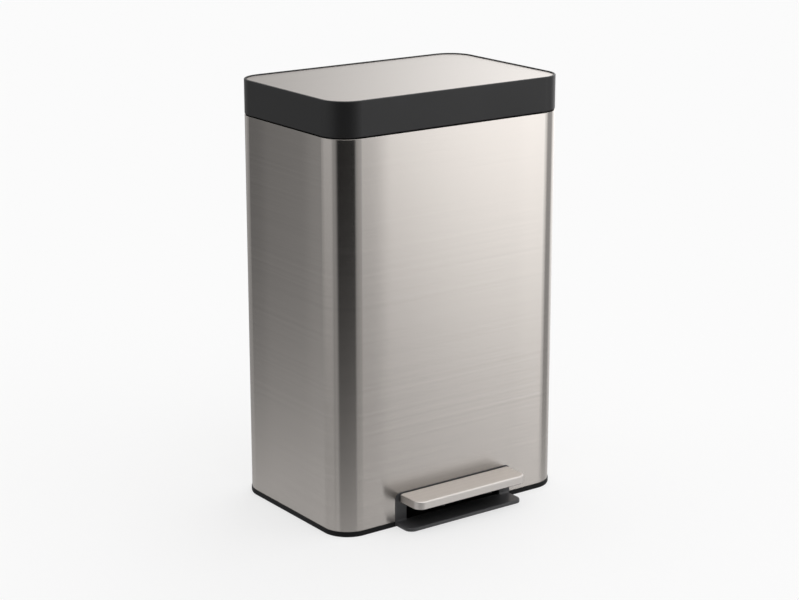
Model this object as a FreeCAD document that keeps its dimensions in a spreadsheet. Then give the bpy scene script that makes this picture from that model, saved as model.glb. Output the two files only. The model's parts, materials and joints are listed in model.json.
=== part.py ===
"""A step-on trash can: steel shell, hinged lid, pedal, and the lever and rod that join them.

The floor is z = 0 and the front faces -Y. The origin is the middle of the body's footprint.
All sizes are in millimetres and degrees.
"""
import itertools
import math
import os
import re

import FreeCAD
import Part
import Sketcher

Vector = FreeCAD.Vector

SIZES = {
    # steel body
    "body_width": 415,
    "body_depth": 274,
    "body_height": 650,
    "corner_radius": 41,
    "sheet": 0.8,
    "hem_width": 1.6,
    "hem_height": 5,
    "hem_round": 0.6,
    "fit_gap": 0.2,
    # small lengths: past a face that is cut open, into a piece that is joined, beside a full round
    "overrun": 1,
    "bite": 0.5,
    "land": 0.1,
    # base
    "foot_height": 1.2,
    "foot_width": 2.6,
    "foot_inset": 0.9,
    "rim_top": 8,
    "rim_proud": 0.8,
    "rim_round": 0.7,
    "plug_top": 28,
    "plug_wall": 2.2,
    "tray_bottom": 4,
    "tray_floor": 3,
    "tray_rib": 2,
    "tray_rib_height": 8,
    "tray_rib_start": 60,
    "tray_rib_pitch": 56,
    "tray_rib_front": 18,
    "tab_width": 18,
    "tab_top": 44,
    "tab_wall": 2.5,
    # pedal surround and toe plate
    "surround_width": 218,
    "surround_top": 52.5,
    "surround_corner": 10,
    "surround_proud": 0.6,
    "surround_edge": 0.5,
    "flange_reach": 7,
    "flange_wall": 2.5,
    "window_width": 177,
    "window_top": 49.5,
    "window_corner": 4,
    "toe_reach": 35,
    "toe_inset": 1.5,
    "toe_top": 6.5,
    "toe_corner": 12,
    "toe_edge": 2,
    "toe_blend": 3.5,
    # pedal
    "tread_width": 205,
    "tread_gap": 1.4,
    "tread_depth": 48,
    "tread_top": 51.5,
    "tread_height": 12,
    "tread_sheet": 1,
    "tread_front_corner": 13,
    "tread_back_corner": 4,
    "tread_edge": 2.5,
    "core_gap": 0.1,
    "core_show": 1,
    "core_wall": 2.5,
    "core_rib": 1.6,
    "core_rib_pitch": 20,
    "stop_radius": 5,
    "stop_height": 5.8,
    "stop_spread": 90,
    "stop_setback": 20,
    # lever and its pivot
    "pivot_setback": 75,
    "pivot_height": 33,
    "pivot_radius": 4,
    "lever_wall": 2.5,
    "lever_width": 46,
    "lever_above": 8,
    "lever_below": 6,
    "nose_width": 120,
    "nose_inset": 8,
    "nose_plate": 3,
    "nose_screw_near_share": 0.1,
    "nose_screw_far_share": 0.4,
    "nose_flat_share": 0.6,
    "nose_bend": 10,
    "waist_setback": 5,
    "waist_end_share": 0.2,
    "tail_start_share": 0.55,
    "tail_width": 26,
    "tail_reach": 8,
    "bush_wall": 1.5,
    "bush_flange": 2,
    "bush_lip": 1.5,
    "saddle_gap": 2.5,
    "saddle_wall": 8,
    "saddle_depth": 22,
    "saddle_foot": 16,
    "saddle_foot_wall": 3,
    "clip_wall": 1,
    "clip_reach": 3,
    "pin_reach": 2,
    # push rod
    "rod_radius": 3,
    "rod_socket": 9,
    "joint_pin_radius": 2.5,
    "joint_eye": 6,
    "foot_side_gap": 0.5,
    "foot_block_height": 20,
    "block_round": 1.5,
    "head_plate": 8,
    "head_wall": 3.5,
    "head_socket_wall": 1.4,
    "head_neck": 7,
    "head_socket": 15,
    "slot_slack": 1,
    "slot_end_slack": 1.2,
    "channel_wall": 1.5,
    "channel_width": 34,
    "channel_front_gap": 12,
    "channel_rear_gap": 4,
    "channel_mouth": 80,
    "mouth_round": 6,
    "channel_foot": 15,
    "channel_foot_depth": 20,
    "guide_height": 8,
    "guide_low": 220,
    "guide_high": 430,
    "guide_slack": 0.3,
    "guide_run": 1.6,
    # collar and bucket
    "collar_height": 36,
    "collar_wall": 2,
    "collar_drop": 1.5,
    "deck_drop": 4,
    "deck_wall": 2.5,
    "deck_front": 18,
    "deck_rear": 55,
    "mouth_corner": 28,
    "boss_radius": 4.5,
    "boss_depth": 10,
    "boss_lift": 0.3,
    "bucket_gap": 1,
    "bucket_wall": 2,
    "bucket_floor": 66,
    "bucket_taper": 11,
    "bucket_rim": 5,
    "bucket_rim_wall": 2.5,
    "bucket_rim_round": 1,
    "bucket_foot_height": 6,
    "bucket_foot_inset": 5,
    "grip_width": 90,
    "grip_height": 20,
    "grip_drop": 16,
    # lid
    "lid_height": 52,
    "lid_gap": 2,
    "lid_wall": 2.5,
    "lid_deck": 2.5,
    "lid_top_round": 1.4,
    "lid_bottom_round": 0.8,
    "panel_inset": 3.1,
    "panel_gap": 0.15,
    "panel_height": 2,
    "panel_round": 1.2,
    "panel_drop": 1.6,
    "cover_rise": 8,
    "cover_wall": 2,
    "cover_rim": 8,
    "cover_panel_depth": 0.8,
    "cover_gap": 0.4,
    "pocket_gap": 3,
    "pocket_depth": 59,
    "bumper_radius": 4,
    "bumper_gap": 0.3,
    "bumper_spread": 240,
    "bumper_side_spread": 120,
    # hinge
    "hinge_inset": 12,
    "hinge_rise": 14,
    "lid_swing": 80,
    "shaft_radius": 4,
    "running_gap": 0.05,
    "press_gap": 0.02,
    "shroud_width": 158,
    "shroud_wall": 1.6,
    "shroud_angle": 42,
    "shroud_gap": 3.5,
    "shroud_side_gap": 1.5,
    "gap_round": 3,
    "shroud_foot": 38,
    "shroud_foot_wall": 5,
    "bracket_plate": 2.5,
    "bracket_inset": 1,
    "bracket_lead": 4,
    "bracket_round": 4,
    "ear_wall": 3,
    "ear_inner": 11.5,
    "ear_outer": 29,
    "ear_radius": 8,
    "yoke_inner": 18,
    "yoke_wall": 7,
    "yoke_reach": 34,
    "yoke_arm": 15,
    "yoke_post": 14,
    "yoke_plate": 2.5,
    "yoke_plate_depth": 26,
    "yoke_pad": 5,
    "yoke_round": 3,
    "hub_radius": 8,
    "crank_radius": 27,
    "crank_width": 17,
    "crank_cheek": 3.5,
    "crank_eye": 5.5,
    "crank_pin_radius": 2.5,
    "crank_pin_reach": 1.5,
    "damper_start": 34,
    "damper_side_gap": 5,
    "damper_wall": 1.7,
    "damper_end": 2.5,
    "damper_gap": 0.3,
    "damper_play": 0.5,
    "damper_foot_wall": 3,
    "rotor_wall": 1.2,
    "vane_half": 1.2,
    "damper_foot": 10,
    "flat_width": 6,
    # screws
    "screw_radius": 1.75,
    "screw_head": 3.5,
    "screw_head_height": 2.5,
    "screw_length": 8,
    "screw_gap": 0.1,
    "screw_spare": 1,
    "screw_margin": 2,
}

doc = FreeCAD.newDocument("trash_can")
sheet = doc.addObject("Spreadsheet::Sheet", "sizes")
for row, (name, number) in enumerate(SIZES.items(), start=1):
    sheet.set(f"A{row}", name)
    sheet.set(f"B{row}", str(number))
    sheet.setAlias(f"B{row}", name)
doc.recompute()

probe = doc.addObject("Spreadsheet::Sheet", "probe")
PLAIN_NAME = re.compile(r"[a-z_]+")
SAME_PLACE = 1e-4


def linked(expression):
    """Point each size name in an expression at its cell in the sheet."""
    def reference(found):
        return f"sizes.{found[0]}" if found[0] in SIZES else found[0]
    return PLAIN_NAME.sub(reference, str(expression))


def value(expression):
    """The number that an expression in size names gives now."""
    probe.set("A1", f"={linked(expression)}")
    probe.recompute()
    return float(probe.get("A1"))


def bind(item, settings):
    """Tie properties of an object to expressions in size names."""
    for name, expression in settings.items():
        item.setExpression(name, linked(expression))


# Derived places, each an expression in the sizes above.
HALF_WIDTH = "(body_width / 2)"
HALF_DEPTH = "(body_depth / 2)"
LID_BOTTOM = "(body_height - lid_height)"
SHELL_TOP = f"({LID_BOTTOM} - lid_gap)"
TRAY_TOP = "(tray_bottom + tray_floor)"
DECK_TOP = f"({SHELL_TOP} - deck_drop)"
AXIS_Y = f"({HALF_DEPTH} - hinge_inset)"
AXIS_Z = f"({LID_BOTTOM} + hinge_rise)"
PIVOT_Y = f"(pivot_setback - {HALF_DEPTH})"
CRANK_RISE = "(crank_radius * sin(lid_swing / 2))"
CRANK_NEAR = "(crank_radius * cos(lid_swing / 2))"
ROD_Y = f"({AXIS_Y} - (crank_radius + {CRANK_NEAR}) / 2)"
ROD_ARM = f"({ROD_Y} - {PIVOT_Y})"
DECK_BELOW_AXIS = f"({DECK_TOP} - {AXIS_Z})"
PLATE_TOP = f"({DECK_BELOW_AXIS} + bracket_plate)"
MOUTH_FRONT = f"(deck_front - {HALF_DEPTH})"
MOUTH_REAR = f"({HALF_DEPTH} - deck_rear)"
MOUTH_SIDE = f"({HALF_WIDTH} - deck_front)"

FLOOR_FRAME = ("0", "0", "0")
LID_FRAME = ("0", "0", LID_BOTTOM)
HINGE_FRAME = ("0", AXIS_Y, AXIS_Z)
LEVER_FRAME = ("0", PIVOT_Y, "pivot_height")
HEAD_FRAME = ("0", ROD_Y, f"({AXIS_Z} - {CRANK_RISE})")
FOOT_FRAME = ("0", ROD_Y, f"(pivot_height - {CRANK_RISE})")

nodes = []
serial = itertools.count(1)


def add(kind, hint):
    """A new document object with a plain unique name."""
    return doc.addObject(kind, f"{hint}_{next(serial)}")


def place(item, frame):
    x, y, z = frame
    bind(item, {"Placement.Base.x": x, "Placement.Base.y": y, "Placement.Base.z": z})
    return item


def keep(item, label, frame=FLOOR_FRAME):
    """Name a finished sub-part, stand it in its frame and list it for writing."""
    item.Label = label
    nodes.append(place(item, frame))
    return item


def outline(sketch, corners):
    """Draw a closed loop through corners (across, up) or (across, up, radius), tied to the sizes."""
    points = [Vector(value(c[0]), value(c[1]), 0) for c in corners]
    radii = [value(c[2]) if len(c) > 2 else 0 for c in corners]
    count = len(corners)
    starts, ends, arcs = [], [], []
    for i in range(count):
        to_last = (points[i - 1] - points[i]).normalize()
        to_next = (points[(i + 1) % count] - points[i]).normalize()
        half_angle = to_last.getAngle(to_next) / 2
        if radii[i]:
            cut = radii[i] / math.tan(half_angle)
            middle = (to_last + to_next).normalize()
            reach = (cut * cut + radii[i] * radii[i]) ** 0.5
            arcs.append(points[i] + middle * reach)
        else:
            cut = 0
            arcs.append(None)
        ends.append(points[i] + to_last * cut)
        starts.append(points[i] + to_next * cut)
    lines = []
    for i in range(count):
        line = Part.LineSegment(starts[i], ends[(i + 1) % count])
        lines.append(sketch.addGeometry(line, False))
    for i in range(count):
        before, after = lines[i - 1], lines[i]
        if arcs[i] is None:
            sketch.addConstraint(Sketcher.Constraint("Coincident", before, 2, after, 1))
            corner = (after, 1)
        else:
            turn = (points[i] - points[i - 1]).cross(points[(i + 1) % count] - points[i]).z
            first, last = (ends[i], starts[i]) if turn > 0 else (starts[i], ends[i])
            middle = arcs[i] + ((first + last) * 0.5 - arcs[i]).normalize() * radii[i]
            arc = sketch.addGeometry(Part.Arc(first, middle, last), False)
            tip = sketch.addGeometry(Part.Point(points[i]), True)
            near, far = (1, 2) if turn > 0 else (2, 1)
            sketch.addConstraint([
                Sketcher.Constraint("Tangent", before, 2, arc, near),
                Sketcher.Constraint("Tangent", after, 1, arc, far),
                Sketcher.Constraint("PointOnObject", tip, 1, before),
                Sketcher.Constraint("PointOnObject", tip, 1, after),
            ])
            size = sketch.addConstraint(Sketcher.Constraint("Radius", arc, radii[i]))
            sketch.setExpression(f"Constraints[{size}]", linked(corners[i][2]))
            corner = (tip, 1)
        across = sketch.addConstraint(Sketcher.Constraint("DistanceX", -1, 1, *corner, points[i].x))
        up = sketch.addConstraint(Sketcher.Constraint("DistanceY", -1, 1, *corner, points[i].y))
        sketch.setExpression(f"Constraints[{across}]", linked(corners[i][0]))
        sketch.setExpression(f"Constraints[{up}]", linked(corners[i][1]))
    return sketch


def rectangle(half_width, low, high, radius=None):
    """Corners of an upright rectangle about the middle line, rounded if a radius is given."""
    corners = [(f"-{half_width}", low), (half_width, low), (half_width, high), (f"-{half_width}", high)]
    return [corner + (radius,) for corner in corners] if radius else corners


def body_ring(inset):
    """Corners of the body's rounded footprint, drawn in by an inset."""
    radius = f"(corner_radius - ({inset}))"
    return rectangle(f"({HALF_WIDTH} - ({inset}))", f"(({inset}) - {HALF_DEPTH})",
                     f"({HALF_DEPTH} - ({inset}))", radius)


def body(hint):
    return add("PartDesign::Body", hint)


def sketch_in(owner, role, offset, *loops):
    """A sketch on one of a body's own planes, moved along that plane's normal."""
    sketch = owner.newObject("Sketcher::SketchObject", f"sketch_{next(serial)}")
    plane = [p for p in owner.Origin.OriginFeatures if p.Role == role][0]
    sketch.AttachmentSupport = [(plane, "")]
    sketch.MapMode = "FlatFace"
    bind(sketch, {"AttachmentOffset.Base.z": offset})
    for loop in loops:
        outline(sketch, loop)
    return sketch


def solved(feature):
    """Recompute, and stop at once if a feature didn't solve."""
    doc.recompute()
    if "Invalid" in feature.State or "Error" in feature.State:
        raise RuntimeError(f"{feature.Name} failed: {feature.getStatusString()}")
    return feature


def grow(owner, role, start, length, *loops):
    """Pad closed loops from a plane, along its normal."""
    sketch = sketch_in(owner, role, start, *loops)
    pad = owner.newObject("PartDesign::Pad", f"pad_{next(serial)}")
    pad.Profile = sketch
    bind(pad, {"Length": length})
    return solved(pad)


def hollow(owner, role, start, length, *loops):
    """Pocket closed loops from a plane, along its normal, and make sure that material went."""
    before = owner.Shape.Volume
    sketch = sketch_in(owner, role, start, *loops)
    pocket = owner.newObject("PartDesign::Pocket", f"pocket_{next(serial)}")
    pocket.Profile = sketch
    pocket.Reversed = True
    bind(pocket, {"Length": length})
    solved(pocket)
    if owner.Shape.Volume >= before:
        raise RuntimeError(f"a pocket in {owner.Name} cuts nothing")
    return pocket


def edges_on(shape, wanted):
    """Names of the edges whose corners and middle all pass a test on x, y and z."""
    chosen = []
    for number, edge in enumerate(shape.Edges, start=1):
        middle = edge.valueAt((edge.FirstParameter + edge.LastParameter) / 2)
        places = [corner.Point for corner in edge.Vertexes] + [middle]
        if all(wanted(p.x, p.y, p.z) for p in places):
            chosen.append(f"Edge{number}")
    return chosen


def soften(owner, radius, wanted):
    """Round the edges of a body that pass a test."""
    base = owner.Tip
    fillet = owner.newObject("PartDesign::Fillet", f"fillet_{next(serial)}")
    fillet.Base = (base, edges_on(base.Shape, wanted))
    bind(fillet, {"Radius": radius})
    return solved(fillet)


def same(a, b):
    return abs(a - b) < SAME_PLACE


def box(x, y, z):
    """A box from (low, high) pairs of expressions."""
    item = add("Part::Box", "box")
    for side, (low, high) in zip(("Length", "Width", "Height"), (x, y, z)):
        bind(item, {side: f"({high}) - ({low})"})
    return place(item, (x[0], y[0], z[0]))


def both_sides(near, far):
    """The (low, high) pairs of a span right of the middle plane and of its mirror image."""
    return [(near, far), (f"-({far})", f"-({near})")]


TURNS = {
    "X": FreeCAD.Rotation(Vector(0, 1, 0), 90),
    "Y": FreeCAD.Rotation(Vector(1, 0, 0), -90),
    "Z": FreeCAD.Rotation(),
}


def bar(axis, radius, low, high, centre=("0", "0")):
    """A round bar along an axis, between two places on it; centre holds the other two coordinates."""
    item = add("Part::Cylinder", "bar")
    item.Placement = FreeCAD.Placement(Vector(), TURNS[axis])
    bind(item, {"Radius": radius, "Height": f"({high}) - ({low})"})
    at = list(centre)
    at.insert("XYZ".index(axis), low)
    return place(item, at)


SIDE_VIEW = FreeCAD.Rotation(Vector(1, 1, 1), 120)


def side_prism(x, corners):
    """A prism along X between a (low, high) pair, drawn as (y, z) corners."""
    sketch = add("Sketcher::SketchObject", "profile")
    sketch.Placement = FreeCAD.Placement(Vector(), SIDE_VIEW)
    bind(sketch, {"Placement.Base.x": x[0]})
    outline(sketch, corners)
    return extruded(sketch, f"({x[1]}) - ({x[0]})")


def plan_prism(z, corners):
    """An upright prism between a (low, high) pair, drawn as (x, y) corners."""
    sketch = add("Sketcher::SketchObject", "plan")
    bind(sketch, {"Placement.Base.z": z[0]})
    outline(sketch, corners)
    return extruded(sketch, f"({z[1]}) - ({z[0]})")


def extruded(sketch, length):
    item = add("Part::Extrusion", "prism")
    item.Base = sketch
    item.DirMode = "Normal"
    item.Solid = True
    bind(item, {"LengthFwd": length})
    return item


def join(*items):
    item = add("Part::MultiFuse", "join")
    item.Shapes = list(items)
    item.Refine = True
    return item


def overlap(first, second):
    item = add("Part::Common", "overlap")
    item.Base = first
    item.Tool = second
    return item


def cut(base, *tools):
    item = add("Part::Cut", "cut")
    item.Base = base
    item.Tool = tools[0] if len(tools) == 1 else join(*tools)
    return item


def group(items):
    item = add("Part::Compound", "group")
    item.Links = items
    return item


def screws(axis, seat, places, into="-1", shank="screw_length"):
    """Round-headed screws along an axis: the head stands on the seat, the shank runs the other way."""
    made = []
    for centre in places:
        head = sorted((seat, f"({seat}) - ({into}) * screw_head_height"), key=value)
        tail = sorted((seat, f"({seat}) + ({into}) * ({shank})"), key=value)
        made.append(join(bar(axis, "screw_head", *head, centre), bar(axis, "screw_radius", *tail, centre)))
    return group(made)


def drills(axis, low, high, places, radius="screw_radius + screw_gap"):
    return [bar(axis, radius, low, high, centre) for centre in places]


# Steel shell: a drawn tube with a hemmed top edge and a notch for the pedal surround.
shell = body("shell")
grow(shell, "XY_Plane", "rim_top", f"{SHELL_TOP} - rim_top", body_ring("0"))
hollow(shell, "XY_Plane", "rim_top", f"{SHELL_TOP} - rim_top", body_ring("hem_width"))
hollow(shell, "XY_Plane", "rim_top", f"{SHELL_TOP} - rim_top - hem_height", body_ring("sheet"))
notch_side = "(surround_width / 2 + fit_gap)"
notch_top = "(surround_top + fit_gap)"
notch_corner = "(surround_corner + fit_gap)"
hollow(shell, "XZ_Plane", f"{HALF_DEPTH} - corner_radius / 2", "corner_radius", [
    (f"-{notch_side}", "0"),
    (notch_side, "0"),
    (notch_side, notch_top, notch_corner),
    (f"-{notch_side}", notch_top, notch_corner),
])
shell_top = value(SHELL_TOP)
soften(shell, "hem_round", lambda x, y, z: same(z, shell_top))
keep(shell, "outer_shell")

# Base tray: rim under the shell, plug wall inside it, a ribbed floor, and two tabs that hold the surround.
flange_side = "(surround_width / 2 + flange_reach)"
skin_back = f"({HALF_DEPTH} - sheet - fit_gap)"
flange_back = f"({skin_back} - flange_wall)"
plug_inset = "(sheet + fit_gap)"
plug_inner = f"({plug_inset} + plug_wall)"
tray = body("tray")
grow(tray, "XY_Plane", "foot_height", "rim_top - foot_height", body_ring("-rim_proud"))
rim_bottom = value("foot_height")
soften(tray, "rim_round", lambda x, y, z: same(z, rim_bottom))
grow(tray, "XY_Plane", "rim_top", "plug_top - rim_top", body_ring(plug_inset))
hollow(tray, "XY_Plane", TRAY_TOP, f"plug_top - {TRAY_TOP}", body_ring(plug_inner))
hollow(tray, "XY_Plane", "foot_height", "tray_bottom - foot_height", body_ring(plug_inner))
hollow(tray, "XZ_Plane", flange_back, "corner_radius", [
    (f"-{notch_side}", "0"),
    (notch_side, "0"),
    (notch_side, "rim_top"),
    (f"({flange_side} + fit_gap)", "rim_top"),
    (f"({flange_side} + fit_gap)", "plug_top + overrun"),
    (f"-({flange_side} + fit_gap)", "plug_top + overrun"),
    (f"-({flange_side} + fit_gap)", "rim_top"),
    (f"-{notch_side}", "rim_top"),
])
tab_front = f"-({flange_back} - fit_gap)"
tab_back = f"({tab_front} + tab_wall)"
tab_middle = f"({flange_side} - tab_width / 2)"
tabs = [
    box(side, (tab_front, tab_back), (TRAY_TOP, "tab_top"))
    for side in both_sides(f"{flange_side} - tab_width", flange_side)
]
surround_screw_places = [
    (f"{sign}{tab_middle}", height)
    for sign in ("", "-")
    for height in ("tab_top - screw_head * 2", "tab_top - screw_head * 6")
]
saddle_near = "(lever_width / 2 + bush_lip + saddle_gap)"
saddle_far = f"({saddle_near} + saddle_wall)"
saddle_screw_x = f"({saddle_far} + saddle_foot / 2)"
saddle_screw_places = [
    (f"{sign}{saddle_screw_x}", f"{PIVOT_Y} {step} saddle_depth / 4")
    for sign in ("", "-")
    for step in ("+", "-")
]
channel_half = "(channel_width / 2)"
channel_front = f"({ROD_Y} - channel_front_gap)"
channel_rear = f"({HALF_DEPTH} - sheet - channel_rear_gap)"
channel_foot_rear = f"({channel_rear} - channel_wall)"
channel_screw_y = f"({channel_foot_rear} - channel_foot_depth / 2)"
channel_screw_places = [
    (f"{sign}({channel_half} + channel_foot / 2)", channel_screw_y) for sign in ("", "-")
]
floor_screw_places = saddle_screw_places + channel_screw_places
floor_bosses = [
    bar("Z", "boss_radius", "foot_height + boss_lift", "tray_bottom", centre) for centre in floor_screw_places
]
rib_levels = (f"{TRAY_TOP} - bite", f"{TRAY_TOP} + tray_rib_height")
rib_end = f"({HALF_WIDTH} - {plug_inner} + bite)"
rib_rear = f"({HALF_DEPTH} - {plug_inner} + bite)"
tray_ribs = []
for step in ("-1", "0", "1"):
    rib_span = (f"{step} * tray_rib_pitch - tray_rib / 2", f"{step} * tray_rib_pitch + tray_rib / 2")
    tray_ribs += [box(side, rib_span, rib_levels) for side in both_sides("tray_rib_start", rib_end)]
for step in ("0", "1"):
    rib_near = f"(tray_rib_start + tray_rib_pitch * ({step} + 1 / 2))"
    for side in both_sides(rib_near, f"{rib_near} + tray_rib"):
        tray_ribs.append(box(side, (f"tray_rib_front - {HALF_DEPTH}", rib_rear), rib_levels))
tray_holes = drills("Y", tab_front, tab_back, surround_screw_places)
tray_holes += drills("Z", "foot_height", TRAY_TOP, floor_screw_places)
keep(cut(join(tray, *tabs, *tray_ribs, *floor_bosses), *tray_holes), "base_tray")

ring = body("ring")
grow(ring, "XY_Plane", "0", "foot_height", body_ring("foot_inset - rim_proud"),
     body_ring("foot_inset - rim_proud + foot_width"))
keep(ring, "anti_slip_ring")

# Pedal surround: a skin that fills the shell's notch, a flange behind the sheet, and the toe plate.
skin_front = f"({HALF_DEPTH} + surround_proud)"
surround = body("surround")
toe_front = f"({HALF_DEPTH} + toe_reach)"
toe_side = "(surround_width / 2 - toe_inset)"
toe_level = value("toe_top")
front_plane = -value(skin_front)
grow(surround, "XY_Plane", "foot_height", "toe_top - foot_height", [
    (f"-{toe_side}", f"-{toe_front}", "toe_corner"),
    (toe_side, f"-{toe_front}", "toe_corner"),
    (toe_side, f"-{skin_back}"),
    (f"-{toe_side}", f"-{skin_back}"),
])
soften(surround, "toe_edge", lambda x, y, z: same(z, toe_level) and y < front_plane)
grow(surround, "XZ_Plane", skin_back, f"{skin_front} - {skin_back}", [
    ("-surround_width / 2", "foot_height"),
    ("surround_width / 2", "foot_height"),
    ("surround_width / 2", "surround_top", "surround_corner"),
    ("-surround_width / 2", "surround_top", "surround_corner"),
])
soften(surround, "surround_edge", lambda x, y, z: same(y, front_plane) and z > toe_level + value("overrun"))
cove_side = f"({toe_side} - toe_edge)"
grow(surround, "YZ_Plane", f"-{cove_side}", f"2 * {cove_side}", [
    (f"bite - {skin_front}", "toe_top - bite"),
    (f"bite - {skin_front}", "toe_top + toe_blend"),
    (f"-{skin_front}", "toe_top + toe_blend"),
    (f"-{skin_front}", "toe_top", "toe_blend - land"),
    (f"-{skin_front} - toe_blend", "toe_top"),
    (f"-{skin_front} - toe_blend", "toe_top - bite"),
])
flange_top = "(surround_top + flange_reach)"
flange_corner = "(surround_corner + flange_reach)"
grow(surround, "XZ_Plane", flange_back, "flange_wall", [
    ("-surround_width / 2", "foot_height"),
    ("surround_width / 2", "foot_height"),
    ("surround_width / 2", "rim_top + fit_gap"),
    (flange_side, "rim_top + fit_gap"),
    (flange_side, flange_top, flange_corner),
    (f"-{flange_side}", flange_top, flange_corner),
    (f"-{flange_side}", "rim_top + fit_gap"),
    ("-surround_width / 2", "rim_top + fit_gap"),
])
hollow(surround, "XZ_Plane", f"{flange_back} - overrun",
       f"{skin_front} - {flange_back} + toe_blend + 2 * overrun", [
    ("-window_width / 2", "toe_top"),
    ("window_width / 2", "toe_top"),
    ("window_width / 2", "window_top", "window_corner"),
    ("-window_width / 2", "window_top", "window_corner"),
])
surround_drills = drills("Y", f"-{skin_back} - fit_gap", f"-{flange_back}", surround_screw_places)
keep(cut(surround, *surround_drills), "pedal_surround")
surround_shank = "tab_wall + fit_gap + flange_wall"
keep(screws("Y", tab_back, surround_screw_places, "-1", surround_shank), "surround_screws")

# Pedal tread and core, drawn in the lever's frame so that they turn with it.
tread_back = f"(-{HALF_DEPTH} - surround_proud - tread_gap - {PIVOT_Y})"
tread_front = f"({tread_back} - tread_depth)"
tread_roof = "(tread_top - pivot_height)"
tread_skirt = f"({tread_roof} - tread_height)"
core_floor = f"({tread_skirt} - core_show)"


def pedal_plan(inset):
    side = f"(tread_width / 2 - ({inset}))"
    return [
        (f"-{side}", f"{tread_front} + ({inset})", f"tread_front_corner - ({inset})"),
        (side, f"{tread_front} + ({inset})", f"tread_front_corner - ({inset})"),
        (side, f"{tread_back} - ({inset})", f"tread_back_corner - ({inset})"),
        (f"-{side}", f"{tread_back} - ({inset})", f"tread_back_corner - ({inset})"),
    ]


roof_level = value(tread_roof)
ceiling_level = value(f"{tread_roof} - tread_sheet")
tread = body("tread")
grow(tread, "XY_Plane", tread_skirt, "tread_height", pedal_plan("0"))
soften(tread, "tread_edge", lambda x, y, z: same(z, roof_level))
hollow(tread, "XY_Plane", tread_skirt, "tread_height - tread_sheet", pedal_plan("tread_sheet"))
soften(tread, "tread_edge - tread_sheet", lambda x, y, z: same(z, ceiling_level))
keep(tread, "pedal_tread", LEVER_FRAME)

core_top = f"({tread_roof} - tread_sheet - core_gap)"
core_level = value(core_top)
core = body("core")
grow(core, "XY_Plane", core_floor, f"{core_top} - {core_floor}", pedal_plan("tread_sheet + core_gap"))
soften(core, "tread_edge - tread_sheet", lambda x, y, z: same(z, core_level))
nose_screw_places = [
    (f"{sign} nose_width / 4", f"{tread_front} + nose_inset + tread_depth * {share}")
    for sign in ("", "-")
    for share in ("nose_screw_near_share", "nose_screw_far_share")
]
cavity_inset = "(tread_sheet + core_gap + core_wall)"
cavity_front = f"({tread_front} + {cavity_inset})"
cavity_back = f"({tread_back} - {cavity_inset})"
cavity_side = f"(tread_width / 2 - {cavity_inset})"
cavity_near = "(nose_width / 4 + boss_radius * 2)"
cavity_middle = "(nose_width / 4 - boss_radius * 2)"
cavity_round = f"(tread_front_corner - {cavity_inset})"
cavity_depth = f"({core_top} - core_wall - {core_floor})"
hollow(core, "XY_Plane", core_floor, cavity_depth, [
    (cavity_near, cavity_front),
    (cavity_side, cavity_front, cavity_round),
    (cavity_side, cavity_back),
    (cavity_near, cavity_back),
])
hollow(core, "XY_Plane", core_floor, cavity_depth, [
    (f"-{cavity_side}", cavity_front, cavity_round),
    (f"-{cavity_near}", cavity_front),
    (f"-{cavity_near}", cavity_back),
    (f"-{cavity_side}", cavity_back),
])
hollow(core, "XY_Plane", core_floor, cavity_depth, rectangle(cavity_middle, cavity_front, cavity_back))
core_ribs = []
for step in ("1", "2"):
    rib_near = f"({cavity_near} + {step} * core_rib_pitch)"
    for side in both_sides(rib_near, f"{rib_near} + core_rib"):
        core_ribs.append(box(side, (f"{cavity_front} - bite", f"{cavity_back} + bite"),
                             (core_floor, f"{core_floor} + {cavity_depth} + bite")))
core_drills = drills("Z", core_floor, f"{core_floor} + screw_length", nose_screw_places)
keep(cut(join(core, *core_ribs), *core_drills), "pedal_core", LEVER_FRAME)

# Pedal lever: a pressed channel with a flat nose under the core and an open tail at the push rod.
nose_front = f"({tread_front} + nose_inset)"
nose_under = f"({core_floor} - nose_plate)"
tail_end = f"({ROD_ARM} + tail_reach)"
tail_drop = f"({CRANK_RISE} * {tail_end} / {ROD_ARM})"
nose_back = f"({tread_back} + nose_bend)"
bend_front = f"({nose_front} + tread_depth * nose_flat_share)"
lever_side = [
    (nose_front, core_floor),
    (nose_front, nose_under),
    (bend_front, nose_under),
    (nose_back, "-lever_below"),
    ("0", "-lever_below"),
    (tail_end, f"-{tail_drop} - lever_below"),
    (tail_end, f"lever_above - {tail_drop}"),
    ("0", "lever_above"),
    (nose_back, core_floor),
]


def lever_plan(inset):
    """The lever from above: wide nose, waist at the pivot, narrow tail."""
    nose = f"(nose_width / 2 - {inset})"
    waist = f"(lever_width / 2 - {inset})"
    tail = f"(tail_width / 2 - {inset})"
    right = [
        (nose, f"{nose_front} - overrun"),
        (nose, bend_front),
        (waist, f"{nose_back} + waist_setback"),
        (waist, f"{ROD_ARM} * waist_end_share"),
        (tail, f"{ROD_ARM} * tail_start_share"),
        (tail, f"{tail_end} + overrun"),
    ]
    left = [(f"-{across}", along) for across, along in reversed(right)]
    return right + left


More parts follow.
